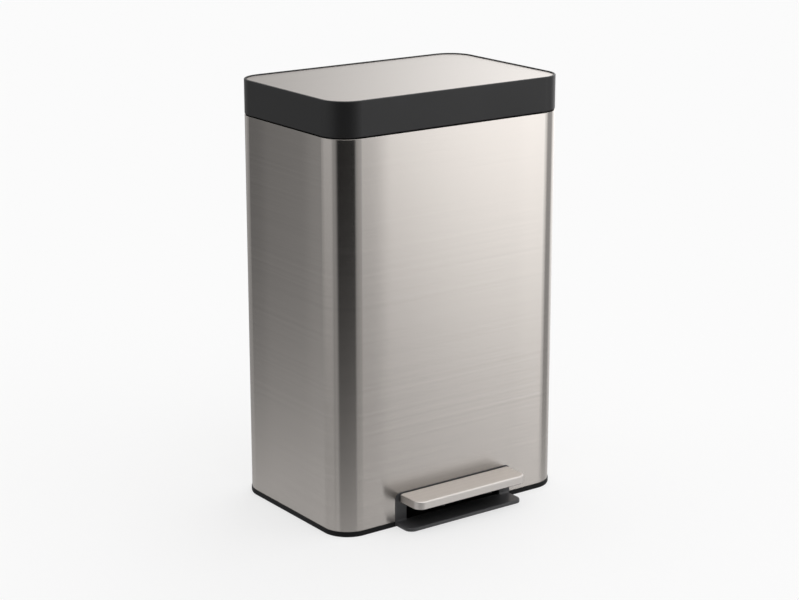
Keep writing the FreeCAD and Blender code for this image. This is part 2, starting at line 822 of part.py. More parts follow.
lever_span = ("-nose_width", "nose_width")
lever_rise = (f"-{tail_drop} - lever_below * 3", "lever_above * 3")
lever_block = overlap(side_prism(lever_span, lever_side), plan_prism(lever_rise, lever_plan("0")))
lever_inside = overlap(
    side_prism(lever_span, [
        (nose_back, "-lever_below * 2"),
        ("0", "-lever_below * 2"),
        (f"{tail_end} + overrun", f"-{tail_drop} - lever_below * 2"),
        (f"{tail_end} + overrun", f"lever_above - {tail_drop} - lever_wall"),
        ("0", "lever_above - lever_wall"),
        (nose_back, f"{core_floor} - lever_wall"),
    ]),
    plan_prism(lever_rise, lever_plan("lever_wall")),
)
tail_inside = "(tail_width / 2 - lever_wall)"
tail_slot = box((f"-{tail_inside}", tail_inside),
                (f"{ROD_ARM} - joint_eye * 2", f"{tail_end} + overrun"), lever_rise)
bush_outside = "(pivot_radius + running_gap + bush_wall)"
lever_sides = both_sides("lever_width / 2 - lever_wall - overrun", "lever_width / 2 + overrun")
lever_holes = [bar("X", f"{bush_outside} + press_gap", *side) for side in lever_sides]
lever_holes.append(bar("X", "joint_pin_radius + press_gap", "-tail_width", "tail_width",
                       (ROD_ARM, f"-{CRANK_RISE}")))
lever_holes += drills("Z", nose_under, core_floor, nose_screw_places)
keep(cut(lever_block, lever_inside, tail_slot, *lever_holes), "pedal_lever", LEVER_FRAME)
keep(screws("Z", nose_under, nose_screw_places, "1", "nose_plate + screw_length - screw_spare"),
     "pedal_screws", LEVER_FRAME)

stop_places = [
    (f"{sign} stop_spread / 2", f"{tread_front} + stop_setback") for sign in ("", "-")
]
keep(group([bar("Z", "stop_radius", f"{nose_under} - stop_height", nose_under, at) for at in stop_places]),
     "pedal_stops", LEVER_FRAME)

bushes = []
for side, lip in zip(both_sides("lever_width / 2 - lever_wall - overrun", "lever_width / 2"),
                     both_sides("lever_width / 2", "lever_width / 2 + bush_lip")):
    sleeve = join(bar("X", bush_outside, *side), bar("X", f"{bush_outside} + bush_flange", *lip))
    bushes.append(cut(sleeve, bar("X", "pivot_radius + running_gap", "-lever_width", "lever_width")))
keep(group(bushes), "lever_bushes", LEVER_FRAME)

# Pivot in the base: two saddles, one pin and its clips.
pin_end = f"({saddle_far} + clip_wall + pin_reach)"
saddle_base = f"({TRAY_TOP} - pivot_height)"
saddle_foot_top = f"({saddle_base} + saddle_foot_wall)"
saddle_half = "(saddle_depth / 2)"
saddle_head = "(pivot_radius * 2)"
saddles = []
for post, foot in zip(both_sides(saddle_near, saddle_far),
                      both_sides(saddle_far, f"{saddle_far} + saddle_foot")):
    upright = side_prism(post, [
        (f"-{saddle_half}", saddle_base),
        (saddle_half, saddle_base),
        (saddle_head, "pivot_radius * 2", "pivot_radius"),
        (f"-{saddle_head}", "pivot_radius * 2", "pivot_radius"),
    ])
    shoe = box(foot, (f"-{saddle_half}", saddle_half), (saddle_base, saddle_foot_top))
    saddles.append(cut(join(upright, shoe), bar("X", "pivot_radius + press_gap", *post)))
saddle_drill_places = [(x, f"({y}) - {PIVOT_Y}") for x, y in saddle_screw_places]
saddle_drills = drills("Z", saddle_base, saddle_foot_top, saddle_drill_places)
keep(cut(group(saddles), *saddle_drills), "pivot_saddles", LEVER_FRAME)
keep(screws("Z", saddle_foot_top, saddle_drill_places, "-1", "saddle_foot_wall + tray_floor"),
     "saddle_screws", LEVER_FRAME)
keep(group([bar("X", "pivot_radius", f"-{pin_end}", pin_end)]), "lever_pivot_pin", LEVER_FRAME)
clips = []
for side in both_sides(saddle_far, f"{saddle_far} + clip_wall"):
    washer = bar("X", "pivot_radius + clip_reach", *side)
    clips.append(cut(washer, bar("X", "pivot_radius + press_gap", *side)))
keep(group(clips), "pivot_clips", LEVER_FRAME)

# Push rod: an eye at the lever's tail, a round rod, and a slotted head round the crank pin.
foot_half = f"({tail_inside} - foot_side_gap)"
foot_top = "foot_block_height"
foot_block = side_prism((f"-{foot_half}", foot_half), [
    ("-joint_eye", "-joint_eye", "joint_eye - land"),
    ("joint_eye", "-joint_eye", "joint_eye - land"),
    ("joint_eye", foot_top, "block_round"),
    ("-joint_eye", foot_top, "block_round"),
])
foot_bores = [
    bar("X", "joint_pin_radius + running_gap", f"-{foot_half}", foot_half),
    bar("Z", "rod_radius + press_gap", "rod_socket", foot_top),
]
keep(cut(foot_block, *foot_bores), "rod_foot", FOOT_FRAME)
joint_pin_half = "((tail_width + pin_reach) / 2)"
keep(group([bar("X", "joint_pin_radius", f"-{joint_pin_half}", joint_pin_half)]), "rod_joint_pin", FOOT_FRAME)
rod_length = f"({HEAD_FRAME[2]} - {FOOT_FRAME[2]})"
rod_tip = f"({rod_length} - head_neck - overrun)"
keep(group([bar("Z", "rod_radius", "rod_socket", rod_tip)]), "push_rod", FOOT_FRAME)

slot_half = f"((crank_radius - {CRANK_NEAR}) / 2 + crank_pin_radius + slot_end_slack)"
slot_rise = "(crank_pin_radius + slot_slack)"
head_half = f"({slot_half} + head_wall)"
head_rise = f"({slot_rise} + head_wall)"
neck_bottom = "(-head_neck - head_socket)"
socket_radius = "(rod_radius + head_socket_wall)"
head_plate = side_prism(("-head_plate / 2", "head_plate / 2"), [
    (f"-{head_half}", "-head_neck", "block_round"),
    (head_half, "-head_neck", "block_round"),
    (head_half, head_rise, "head_wall"),
    (f"-{head_half}", head_rise, "head_wall"),
])
head_slot = side_prism(("-head_plate", "head_plate"), [
    (f"-{slot_half}", f"-{slot_rise}", f"{slot_rise} - land"),
    (slot_half, f"-{slot_rise}", f"{slot_rise} - land"),
    (slot_half, slot_rise, f"{slot_rise} - land"),
    (f"-{slot_half}", slot_rise, f"{slot_rise} - land"),
])
head_socket = bar("Z", socket_radius, neck_bottom, "-head_neck + bite")
head_bore = bar("Z", "rod_radius + press_gap", neck_bottom, "-head_neck - overrun")
keep(cut(join(head_plate, head_socket), head_slot, head_bore), "rod_head", HEAD_FRAME)

# Rod channel: a folded cover between tray and collar, with slotted guides for the rod.
deck_under = f"({DECK_TOP} - deck_wall)"
channel = body("channel")
grow(channel, "XY_Plane", TRAY_TOP, f"{deck_under} - {TRAY_TOP}", [
    (f"-{channel_half}", channel_front),
    (channel_half, channel_front),
    (channel_half, channel_rear),
    (f"{channel_half} - channel_wall", channel_rear),
    (f"{channel_half} - channel_wall", f"{channel_front} + channel_wall"),
    (f"channel_wall - {channel_half}", f"{channel_front} + channel_wall"),
    (f"channel_wall - {channel_half}", channel_rear),
    (f"-{channel_half}", channel_rear),
])
hollow(channel, "XZ_Plane", f"-{channel_front} - channel_wall - overrun", "channel_wall + 2 * overrun", [
    (f"channel_wall - {channel_half}", "0"),
    (f"{channel_half} - channel_wall", "0"),
    (f"{channel_half} - channel_wall", "channel_mouth", "mouth_round"),
    (f"channel_wall - {channel_half}", "channel_mouth", "mouth_round"),
])
channel_feet = [
    box(side, (f"{channel_foot_rear} - channel_foot_depth", channel_foot_rear),
        (TRAY_TOP, f"{TRAY_TOP} + channel_wall"))
    for side in both_sides(channel_half, f"{channel_half} + channel_foot")
]
channel_drills = drills("Z", TRAY_TOP, f"{TRAY_TOP} + channel_wall", channel_screw_places)
keep(cut(join(channel, *channel_feet), *channel_drills), "rod_channel")
keep(screws("Z", f"{TRAY_TOP} + channel_wall", channel_screw_places, "-1", "channel_wall + tray_floor"),
     "channel_screws")
guide_side = f"({channel_half} - channel_wall - land)"
guide_front = f"({channel_front} + channel_wall + land - {ROD_Y})"
guide_reach = "(rod_radius + guide_slack)"
guides = []
for level in ("guide_low", "guide_high"):
    block = box((f"-{guide_side}", guide_side), (guide_front, "channel_front_gap"),
                (level, f"{level} + guide_height"))
    way = plan_prism((level, f"{level} + guide_height"), [
        (f"-{guide_reach}", f"-{guide_reach}", f"{guide_reach} - land"),
        (guide_reach, f"-{guide_reach}", f"{guide_reach} - land"),
        (guide_reach, f"{guide_reach} + guide_run", f"{guide_reach} - land"),
        (f"-{guide_reach}", f"{guide_reach} + guide_run", f"{guide_reach} - land"),
    ])
    guides.append(cut(block, way))
keep(group(guides), "rod_guides", ("0", ROD_Y, "0"))

# Top collar: wall inside the hem, a deck round the bucket's mouth, bosses under the hinge bracket.
collar_inset = "(hem_width + fit_gap)"
collar_top = f"({SHELL_TOP} - collar_drop)"
collar_bottom = f"({SHELL_TOP} - collar_height)"
collar_inner = f"({collar_inset} + collar_wall)"
bracket_rear = f"(hinge_inset - {collar_inner} - fit_gap)"
bracket_front = "(-crank_radius - slot_end_slack - head_wall - bracket_lead)"
bracket_side = "(shroud_width / 2 - bracket_inset)"
bracket_screw_x = f"({bracket_side} - screw_head - screw_margin)"
bracket_screw_front = f"({bracket_front} + screw_head + screw_margin)"
bracket_screw_rear = f"({bracket_rear} - screw_head)"
crank_slot_side = "(ear_inner - bite)"
crank_slot_front = f"({bracket_front} - land)"
crank_slot_rear = "(-hub_radius)"
front_screws = [(f"{sign}{bracket_screw_x}", bracket_screw_front) for sign in ("", "-")]
rear_screws = [(f"{sign}{bracket_screw_x}", bracket_screw_rear) for sign in ("", "-")]
deck_places = [(x, f"{AXIS_Y} + {y}") for x, y in front_screws + rear_screws]
collar = body("collar")
grow(collar, "XY_Plane", collar_bottom, f"{collar_top} - {collar_bottom}", body_ring(collar_inset))
hollow(collar, "XY_Plane", DECK_TOP, f"{collar_top} - {DECK_TOP}", body_ring(collar_inner))
hollow(collar, "XY_Plane", collar_bottom, f"{deck_under} - {collar_bottom}", body_ring(collar_inner))
hollow(collar, "XY_Plane", deck_under, "deck_wall",
       rectangle(MOUTH_SIDE, MOUTH_FRONT, MOUTH_REAR, "mouth_corner"))
hollow(collar, "XY_Plane", deck_under, "deck_wall",
       rectangle(crank_slot_side, f"{AXIS_Y} + {crank_slot_front}", f"{AXIS_Y} + {crank_slot_rear}"))
deck_bosses = [bar("Z", "boss_radius", f"{deck_under} - boss_depth", deck_under, at) for at in deck_places]
deck_drills = drills("Z", f"{deck_under} - boss_depth", DECK_TOP, deck_places)
keep(cut(join(collar, *deck_bosses), *deck_drills), "top_collar")

# Inner bucket: tapered walls on a sloped foot, a rim that hangs on the deck, and a grip slot in each side.
bucket_side = f"({MOUTH_SIDE} - bucket_gap)"
bucket_front = f"({MOUTH_FRONT} + bucket_gap)"
bucket_rear = f"({MOUTH_REAR} - bucket_gap)"


def bucket_plan(inset):
    radius = f"(mouth_corner - bucket_gap - ({inset}) / 2)"
    return rectangle(f"({bucket_side} - ({inset}))", f"({bucket_front} + ({inset}))",
                     f"({bucket_rear} - ({inset}))", radius)


def tapered(owner, kind, low, high, low_inset, high_inset):
    """A loft between two levels of the bucket, drawn in by an inset at each."""
    sections = [sketch_in(owner, "XY_Plane", low, bucket_plan(low_inset)),
                sketch_in(owner, "XY_Plane", high, bucket_plan(high_inset))]
    loft = owner.newObject(kind, f"loft_{next(serial)}")
    loft.Profile = sections[0]
    loft.Sections = sections[1:]
    loft.Ruled = True
    return solved(loft)


bucket_top = f"({DECK_TOP} + bucket_rim_wall)"
bucket = body("bucket")
tapered(bucket, "PartDesign::AdditiveLoft", "bucket_floor", "bucket_floor + bucket_foot_height",
        "bucket_taper + bucket_foot_inset", "bucket_taper")
tapered(bucket, "PartDesign::AdditiveLoft", "bucket_floor + bucket_foot_height", DECK_TOP,
        "bucket_taper", "0")
grow(bucket, "XY_Plane", DECK_TOP, "bucket_rim_wall", bucket_plan("-bucket_rim"))
rim_level = value(bucket_top)
soften(bucket, "bucket_rim_round", lambda x, y, z: same(z, rim_level))
full_volume = bucket.Shape.Volume
bend_level = "(bucket_floor + bucket_foot_height + bucket_wall / 2)"
tapered(bucket, "PartDesign::SubtractiveLoft", "bucket_floor + bucket_wall", bend_level,
        "bucket_taper + bucket_foot_inset + bucket_wall / 2", "bucket_taper + bucket_wall")
tapered(bucket, "PartDesign::SubtractiveLoft", bend_level, bucket_top,
        "bucket_taper + bucket_wall", "bucket_wall")
if bucket.Shape.Volume >= full_volume:
    raise RuntimeError("the bucket isn't hollow")
grip_top = f"({DECK_TOP} - grip_drop)"
grips = [
    box(side, ("-grip_width / 2", "grip_width / 2"), (f"{grip_top} - grip_height", grip_top))
    for side in both_sides(f"{bucket_side} - bucket_taper", f"{bucket_side} + overrun")
]
keep(cut(bucket, *grips), "inner_bucket")

# Lid frame: a deep band with a recessed deck, screw bosses, and a gap at the back for the hinge.
deck_bottom = "(lid_height - panel_drop - panel_height - lid_deck)"
deck_face = f"({deck_bottom} + lid_deck)"
shroud_outer = "(hinge_inset - land)"
shroud_top = f"({shroud_outer} * sin(shroud_angle))"
gap_top = f"(hinge_rise + {shroud_top} + shroud_gap)"
gap_side = "(shroud_width / 2 + shroud_side_gap)"
boss_bottom = "(cover_rise + cover_wall)"
pocket_front = f"({HALF_DEPTH} - lid_wall - cover_gap - pocket_depth)"
cover_screw_places = [
    (f"{across} ({HALF_WIDTH} - corner_radius)", f"{along}")
    for across in ("-", "0 *", "")
    for along in (f"corner_radius - {HALF_DEPTH}", f"{pocket_front} - boss_radius * 6")
]
yoke_side = "(yoke_inner + yoke_wall)"
yoke_back = "(yoke_post - yoke_reach)"
yoke_plate_front = f"({yoke_back} - yoke_plate_depth)"
yoke_screw_places = [
    (f"{sign}(yoke_inner - boss_radius)", f"{yoke_plate_front} + {along}")
    for sign in ("", "-")
    for along in ("boss_radius + overrun", "yoke_plate_depth - boss_radius - overrun")
]
pad_bottom = f"({deck_bottom} - yoke_pad)"
band = body("band")
grow(band, "XY_Plane", "0", "lid_height", body_ring("0"))
top_level = value("lid_height")
soften(band, "lid_top_round", lambda x, y, z: same(z, top_level))
soften(band, "lid_bottom_round", lambda x, y, z: same(z, 0))
hollow(band, "XY_Plane", "0", deck_bottom, body_ring("lid_wall"))
hollow(band, "XY_Plane", deck_face, f"lid_height - {deck_face}", body_ring("panel_inset - panel_gap"))
hollow(band, "XZ_Plane", f"-{HALF_DEPTH} - overrun", "lid_wall + 2 * overrun", [
    (f"-{gap_side}", "-overrun"),
    (gap_side, "-overrun"),
    (gap_side, gap_top, "gap_round"),
    (f"-{gap_side}", gap_top, "gap_round"),
])
frame_posts = [bar("Z", "boss_radius", boss_bottom, f"{deck_bottom} + bite", at) for at in cover_screw_places]
yoke_block = box((f"-{yoke_side}", yoke_side),
                 (f"{AXIS_Y} + {yoke_plate_front}", f"{AXIS_Y} + {yoke_back}"),
                 (pad_bottom, f"{deck_bottom} + bite"))
yoke_drill_places = [(x, f"{AXIS_Y} + {y}") for x, y in yoke_screw_places]
frame_drills = drills("Z", boss_bottom, f"{boss_bottom} + screw_length", cover_screw_places)
frame_drills += drills("Z", pad_bottom, f"{pad_bottom} + yoke_pad", yoke_drill_places)
keep(cut(join(band, *frame_posts, yoke_block), *frame_drills), "lid_frame", LID_FRAME)

# Lid panel: a shallow steel pan, turned down at the edge, let into the deck's recess.
panel = body("panel")
grow(panel, "XY_Plane", deck_face, "panel_height", body_ring("panel_inset"))
panel_level = value(f"{deck_face} + panel_height")
soften(panel, "panel_round", lambda x, y, z: same(z, panel_level))
hollow(panel, "XY_Plane", deck_face, "panel_height - sheet", body_ring("panel_inset + sheet"))
keep(panel, "lid_panel", LID_FRAME)

# Inner cover: closes the lid from below, with a walled pocket that leaves the hinge free.
cover_inset = "(lid_wall + cover_gap)"
pocket_rear = f"({HALF_DEPTH} - {cover_inset})"
pocket_half = "(shroud_width / 2 + pocket_gap)"
pocket_outer = f"({pocket_half} + cover_wall)"
cover = body("cover")
grow(cover, "XY_Plane", "cover_rise", "cover_rim", body_ring(cover_inset))
hollow(cover, "XY_Plane", boss_bottom, "cover_rim - cover_wall", body_ring(f"{cover_inset} + cover_wall"))
grow(cover, "XY_Plane", "cover_rise", f"{deck_bottom} - cover_gap - cover_rise", [
    (f"-{pocket_outer}", f"{pocket_front} - cover_wall"),
    (pocket_outer, f"{pocket_front} - cover_wall"),
    (pocket_outer, pocket_rear),
    (f"-{pocket_outer}", pocket_rear),
])
hollow(cover, "XY_Plane", "cover_rise - overrun", f"{deck_bottom} + overrun", [
    (f"-{pocket_half}", pocket_front),
    (pocket_half, pocket_front),
    (pocket_half, f"{pocket_rear} + overrun"),
    (f"-{pocket_half}", f"{pocket_rear} + overrun"),
])
hollow(cover, "XY_Plane", "cover_rise", "cover_panel_depth",
       rectangle(f"({HALF_WIDTH} - corner_radius - boss_radius * 3)",
                 f"(corner_radius - {HALF_DEPTH} + boss_radius * 3)",
                 f"({pocket_front} - boss_radius * 9)", "mouth_corner / 2"))
bumper_bottom = f"({DECK_TOP} - {LID_BOTTOM} + bumper_gap)"
keep(cut(cover, *drills("Z", "cover_rise", boss_bottom, cover_screw_places)), "lid_inner_cover", LID_FRAME)
keep(screws("Z", "cover_rise", cover_screw_places, "1", "cover_wall + screw_length - screw_spare"),
     "lid_cover_screws", LID_FRAME)
bumper_run = f"({collar_inner} + deck_front - bucket_rim) / 2"
bumper_places = [
    (f"{sign} bumper_spread / 2", f"{bumper_run} - {HALF_DEPTH}") for sign in ("", "-")
]
bumper_places += [
    (f"{sign} ({HALF_WIDTH} - {bumper_run})", f"{step} bumper_side_spread / 2")
    for sign in ("", "-")
    for step in ("", "-")
]
keep(group([bar("Z", "bumper_radius", bumper_bottom, "cover_rise", at) for at in bumper_places]),
     "lid_bumpers", LID_FRAME)

# Hinge bracket on the collar's deck: a plate with four ears, and a flanged bush in each ear.
bush_shell = "(shaft_radius + running_gap + bush_wall)"
bracket = plan_prism((DECK_BELOW_AXIS, PLATE_TOP), [
    (f"-{bracket_side}", bracket_front, "bracket_round"),
    (f"-{crank_slot_side}", bracket_front),
    (f"-{crank_slot_side}", crank_slot_rear),
    (crank_slot_side, crank_slot_rear),
    (crank_slot_side, bracket_front),
    (bracket_side, bracket_front, "bracket_round"),
    (bracket_side, bracket_rear, "bracket_round"),
    (f"-{bracket_side}", bracket_rear, "bracket_round"),
])
ears = []
ear_bores = []
bracket_bushes = []
for start, lip_side in (("ear_inner", 1), ("ear_outer", -1)):
    wall = (start, f"{start} + ear_wall")
    lip = (wall[1], f"{wall[1]} + bush_lip") if lip_side > 0 else (f"{start} - bush_lip", start)
    for span, collar_span in zip(both_sides(*wall), both_sides(*lip)):
        ears.append(side_prism(span, [
            ("-ear_radius * 3 / 2", f"{DECK_BELOW_AXIS} + bite"),
            ("ear_radius", f"{DECK_BELOW_AXIS} + bite"),
            ("ear_radius", "ear_radius", "ear_radius - land"),
            ("-ear_radius", "ear_radius", "ear_radius - land"),
            ("-ear_radius", "-ear_radius"),
        ]))
        ear_bores.append(bar("X", f"{bush_shell} + press_gap", *span))
        sleeve = join(bar("X", bush_shell, *span), bar("X", f"{bush_shell} + bush_flange", *collar_span))
        bracket_bushes.append(cut(sleeve, bar("X", "shaft_radius + running_gap", "-ear_outer * 2",
                                              "ear_outer * 2")))
damper_end_x = "(shroud_width / 2 - shroud_wall - damper_side_gap - damper_end / 2)"
damper_screw_y = "(-hub_radius - damper_foot / 2)"
damper_screw_places = [
    ("damper_start + screw_head + screw_margin", damper_screw_y),
    (f"{damper_end_x} - screw_head - screw_margin", damper_screw_y),
]
bracket_drills = drills("Z", DECK_BELOW_AXIS, PLATE_TOP, front_screws + rear_screws + damper_screw_places)
keep(cut(join(bracket, *ears), *ear_bores, *bracket_drills), "hinge_bracket", HINGE_FRAME)
keep(group(bracket_bushes), "hinge_bushes", HINGE_FRAME)
bracket_shank = "bracket_plate + deck_wall + boss_depth - screw_margin"
keep(screws("Z", PLATE_TOP, front_screws, "-1", bracket_shank), "hinge_bracket_screws", HINGE_FRAME)

# Hinge cover: fills the gap in the lid's band, flush with the back, and rolls over the shaft.
shroud_inner = f"({shroud_outer} - shroud_wall)"
shroud_half = "(shroud_width / 2)"
shroud_low = "(-hinge_rise)"
shroud_foot_top = f"({PLATE_TOP} + shroud_foot_wall)"
full_shroud = (f"-{shroud_half}", shroud_half)
roll_limit = [
    ("0", "0"),
    ("shroud_width", "0"),
    ("shroud_width * cos(shroud_angle)", "shroud_width * sin(shroud_angle)"),
]
roll = overlap(cut(bar("X", shroud_outer, *full_shroud), bar("X", shroud_inner, *full_shroud)),
               side_prism(full_shroud, roll_limit))
skirt = box(full_shroud, (shroud_inner, shroud_outer), (shroud_low, "0"))
cheek_front = "(-ear_radius)"
cheeks = []
for span in both_sides(f"{shroud_half} - shroud_wall", shroud_half):
    cheeks.append(overlap(
        side_prism(span, [
            (cheek_front, shroud_low),
            (shroud_outer, shroud_low),
            (shroud_outer, shroud_top),
            (cheek_front, shroud_top),
        ]),
        join(bar("X", shroud_outer, *span),
             box(span, ("-shroud_width", shroud_outer), ("-shroud_width", "0")),
             box(span, ("-shroud_width", "0"), ("-overrun", "shroud_width"))),
    ))
shroud_feet = []
for span in both_sides("shroud_foot", bracket_side):
    shroud_feet.append(side_prism(span, [
        ("hinge_inset / 4", PLATE_TOP),
        ("hinge_inset - hem_width - fit_gap * 2", PLATE_TOP),
        ("hinge_inset - hem_width - fit_gap * 2", shroud_low),
        (f"{shroud_outer} - fit_gap", shroud_low),
        (f"{shroud_outer} - fit_gap", shroud_foot_top),
        ("hinge_inset / 4", shroud_foot_top),
    ]))
shroud_drills = drills("Z", PLATE_TOP, shroud_foot_top, rear_screws)
keep(cut(join(roll, skirt, *cheeks, *shroud_feet), *shroud_drills), "hinge_cover", HINGE_FRAME)
keep(screws("Z", shroud_foot_top, rear_screws, "-1", f"shroud_foot_wall + {bracket_shank}"),
     "cover_screws", HINGE_FRAME)

# Shaft, yoke and crank turn with the lid.
shaft_left = "(-ear_outer - ear_wall - clip_wall - clip_reach)"
shaft_right = f"({damper_end_x} - damper_end * 2)"
shaft_flat = "(flat_width / 2)"
flat_start = "(damper_start + damper_end + damper_play)"
shaft_trims = [
    box((flat_start, f"{shaft_right} + overrun"), side, ("-shaft_radius - overrun", "shaft_radius + overrun"))
    for side in both_sides(shaft_flat, "shaft_radius + overrun")
]
keep(cut(bar("X", "shaft_radius", shaft_left, shaft_right), *shaft_trims), "hinge_shaft", HINGE_FRAME)
clip_right = "(-ear_outer - ear_wall - damper_gap)"
shaft_clip_span = (f"{clip_right} - clip_wall", clip_right)
keep(cut(bar("X", "shaft_radius + clip_reach", *shaft_clip_span),
         bar("X", "shaft_radius + press_gap", *shaft_clip_span)), "shaft_clip", HINGE_FRAME)

yoke_top = f"({LID_BOTTOM} + {pad_bottom} - {AXIS_Z})"
yoke_arms = []
for span in both_sides("yoke_inner", yoke_side):
    yoke_arms.append(side_prism(span, [
        ("-yoke_reach", "-yoke_arm / 2", "yoke_round"),
        ("0", "-yoke_arm / 2"),
        ("0", "yoke_arm / 2"),
        (yoke_back, "yoke_arm / 2", "yoke_round"),
        (yoke_back, yoke_top),
        ("-yoke_reach", yoke_top),
    ]))
    yoke_arms.append(bar("X", "yoke_arm / 2", *span))
yoke_plate = box((f"-{yoke_side}", yoke_side), (yoke_plate_front, yoke_back),
                 (f"{yoke_top} - yoke_plate", yoke_top))
yoke_holes = drills("Z", f"{yoke_top} - yoke_plate", yoke_top, yoke_screw_places)
yoke_holes.append(bar("X", "shaft_radius + press_gap", f"-{yoke_side}", yoke_side))
keep(cut(join(yoke_plate, *yoke_arms), *yoke_holes), "hinge_yoke", HINGE_FRAME)
keep(screws("Z", f"{yoke_top} - yoke_plate", yoke_screw_places, "1", "yoke_plate + yoke_pad - bite"),
     "yoke_screws", HINGE_FRAME)

crank_half = "(crank_width / 2)"
crank_span = (f"-{crank_half}", crank_half)
crank_arm = join(
    bar("X", "hub_radius", *crank_span),
    bar("X", "crank_eye", *crank_span, (f"-{CRANK_NEAR}", f"-{CRANK_RISE}")),
    side_prism(crank_span, [
        ("-hub_radius * sin(lid_swing / 2)", "hub_radius * cos(lid_swing / 2)"),
        (f"-{CRANK_NEAR} - crank_eye * sin(lid_swing / 2)", f"crank_eye * cos(lid_swing / 2) - {CRANK_RISE}"),
        (f"crank_eye * sin(lid_swing / 2) - {CRANK_NEAR}", f"-{CRANK_RISE} - crank_eye * cos(lid_swing / 2)"),
        ("hub_radius * sin(lid_swing / 2)", "-hub_radius * cos(lid_swing / 2)"),
    ]),
)
cheek_gap = f"({crank_half} - crank_cheek)"
crank_fork = cut(box((f"-{cheek_gap}", cheek_gap), ("-crank_radius * 2", "hub_radius * 2"),
                     ("-crank_radius * 2", "crank_radius")),
                 bar("X", "hub_radius", *crank_span))
keep(cut(crank_arm, crank_fork, bar("X", "shaft_radius + press_gap", *crank_span),
         bar("X", "crank_pin_radius + press_gap", *crank_span, (f"-{CRANK_NEAR}", f"-{CRANK_RISE}"))),
     "crank_lever", HINGE_FRAME)
keep(group([bar("X", "crank_pin_radius", f"-{crank_half} - crank_pin_reach",
                f"{crank_half} + crank_pin_reach", (f"-{CRANK_NEAR}", f"-{CRANK_RISE}"))]),
     "crank_pin", HINGE_FRAME)

# Slow-close damper round the shaft's right end: housing, vaned rotor and end cap.
damper_bore = "(hub_radius - damper_wall)"
damper_span = ("damper_start", damper_end_x)
damper_foot_top = f"({PLATE_TOP} + damper_foot_wall)"
damper_body = join(
    bar("X", "hub_radius", *damper_span),
    box(damper_span, ("-hub_radius", "-hub_radius / 4"), (PLATE_TOP, "0")),
    box(damper_span, ("-hub_radius - damper_foot", "-hub_radius / 4"), (PLATE_TOP, damper_foot_top)),
)
damper_cuts = [
    bar("X", damper_bore, "damper_start + damper_end", damper_end_x),
    bar("X", "shaft_radius + running_gap", "damper_start", damper_end_x),
]
damper_cuts += drills("Z", PLATE_TOP, damper_foot_top, damper_screw_places)
keep(cut(damper_body, *damper_cuts), "damper_housing", HINGE_FRAME)
keep(screws("Z", damper_foot_top, damper_screw_places, "-1", "damper_foot_wall + bracket_plate"),
     "damper_screws", HINGE_FRAME)
cap_plug = f"({damper_end_x} - damper_end)"
keep(join(bar("X", f"{damper_bore} - fit_gap / 2", cap_plug, damper_end_x),
          bar("X", "hub_radius", damper_end_x, f"{damper_end_x} + damper_end / 2")),
     "damper_cap", HINGE_FRAME)
rotor_span = (f"{flat_start} + damper_play", f"{cap_plug} - damper_play")
rotor_core = bar("X", "shaft_radius + rotor_wall", *rotor_span)
rotor_reach = f"({damper_bore} - damper_gap)"
vanes = box(rotor_span, (f"-{rotor_reach} + land", f"{rotor_reach} - land"), ("-vane_half", "vane_half"))
rotor_bore = overlap(
    bar("X", "shaft_radius + press_gap", *rotor_span),
    box(rotor_span, (f"-{shaft_flat} - press_gap", f"{shaft_flat} + press_gap"),
        ("-shaft_radius * 2", "shaft_radius * 2")),
)
keep(cut(join(rotor_core, vanes), rotor_bore), "damper_rotor", HINGE_FRAME)

# Every object must have solved, and every sub-part must be whole, before anything is written.
doc.recompute()
for item in doc.Objects:
    if "Invalid" in item.State or "Error" in item.State:
        raise RuntimeError(f"{item.Name} ({item.Label}) failed: {item.State}")
os.makedirs("parts", exist_ok=True)
for node in nodes:
    if node.Shape.isNull() or not node.Shape.isValid() or not node.Shape.Solids:
        raise RuntimeError(f"{node.Label} has no sound shape")
for node in nodes:
    node.Shape.exportStep(f"parts/{node.Label}.step")
    box_of = node.Shape.optimalBoundingBox()
    print(f"{node.Label}: {len(node.Shape.Solids)} solids, {node.Shape.Volume / 1000:.2f} cm3, "
          f"x {box_of.XMin:.1f}..{box_of.XMax:.1f} y {box_of.YMin:.1f}..{box_of.YMax:.1f} "
          f"z {box_of.ZMin:.1f}..{box_of.ZMax:.1f}")
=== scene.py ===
# %% [markdown]
# # A step-on trash can, dressed for its portrait
# The solids arrive finished from the CAD model: shell, lid, bucket, pedal and the linkage between
# them. What is left for Blender is how they look: brushed steel, satin black mouldings, plated
# metal, nylon and rubber, a driven cross in the head of every screw, and a plain studio around it.
# All lengths are metres, +Z is up and the front faces -Y.

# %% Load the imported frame
import json
import math

import bpy
import numpy as np
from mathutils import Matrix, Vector


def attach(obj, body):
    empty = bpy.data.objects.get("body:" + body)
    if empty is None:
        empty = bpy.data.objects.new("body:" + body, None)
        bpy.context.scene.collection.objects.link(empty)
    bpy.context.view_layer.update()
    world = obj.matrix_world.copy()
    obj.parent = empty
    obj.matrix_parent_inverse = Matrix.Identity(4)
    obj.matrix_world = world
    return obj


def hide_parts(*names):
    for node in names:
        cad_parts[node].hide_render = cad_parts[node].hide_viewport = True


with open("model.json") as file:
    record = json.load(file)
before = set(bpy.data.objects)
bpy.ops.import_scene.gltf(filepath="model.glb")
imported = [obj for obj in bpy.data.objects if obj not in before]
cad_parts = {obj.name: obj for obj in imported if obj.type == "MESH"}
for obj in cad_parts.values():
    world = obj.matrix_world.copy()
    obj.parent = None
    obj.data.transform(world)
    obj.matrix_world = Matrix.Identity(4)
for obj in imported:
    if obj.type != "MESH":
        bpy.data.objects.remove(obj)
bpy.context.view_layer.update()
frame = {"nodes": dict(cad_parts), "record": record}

scene = bpy.context.scene
scene.view_settings.view_transform = "Standard"

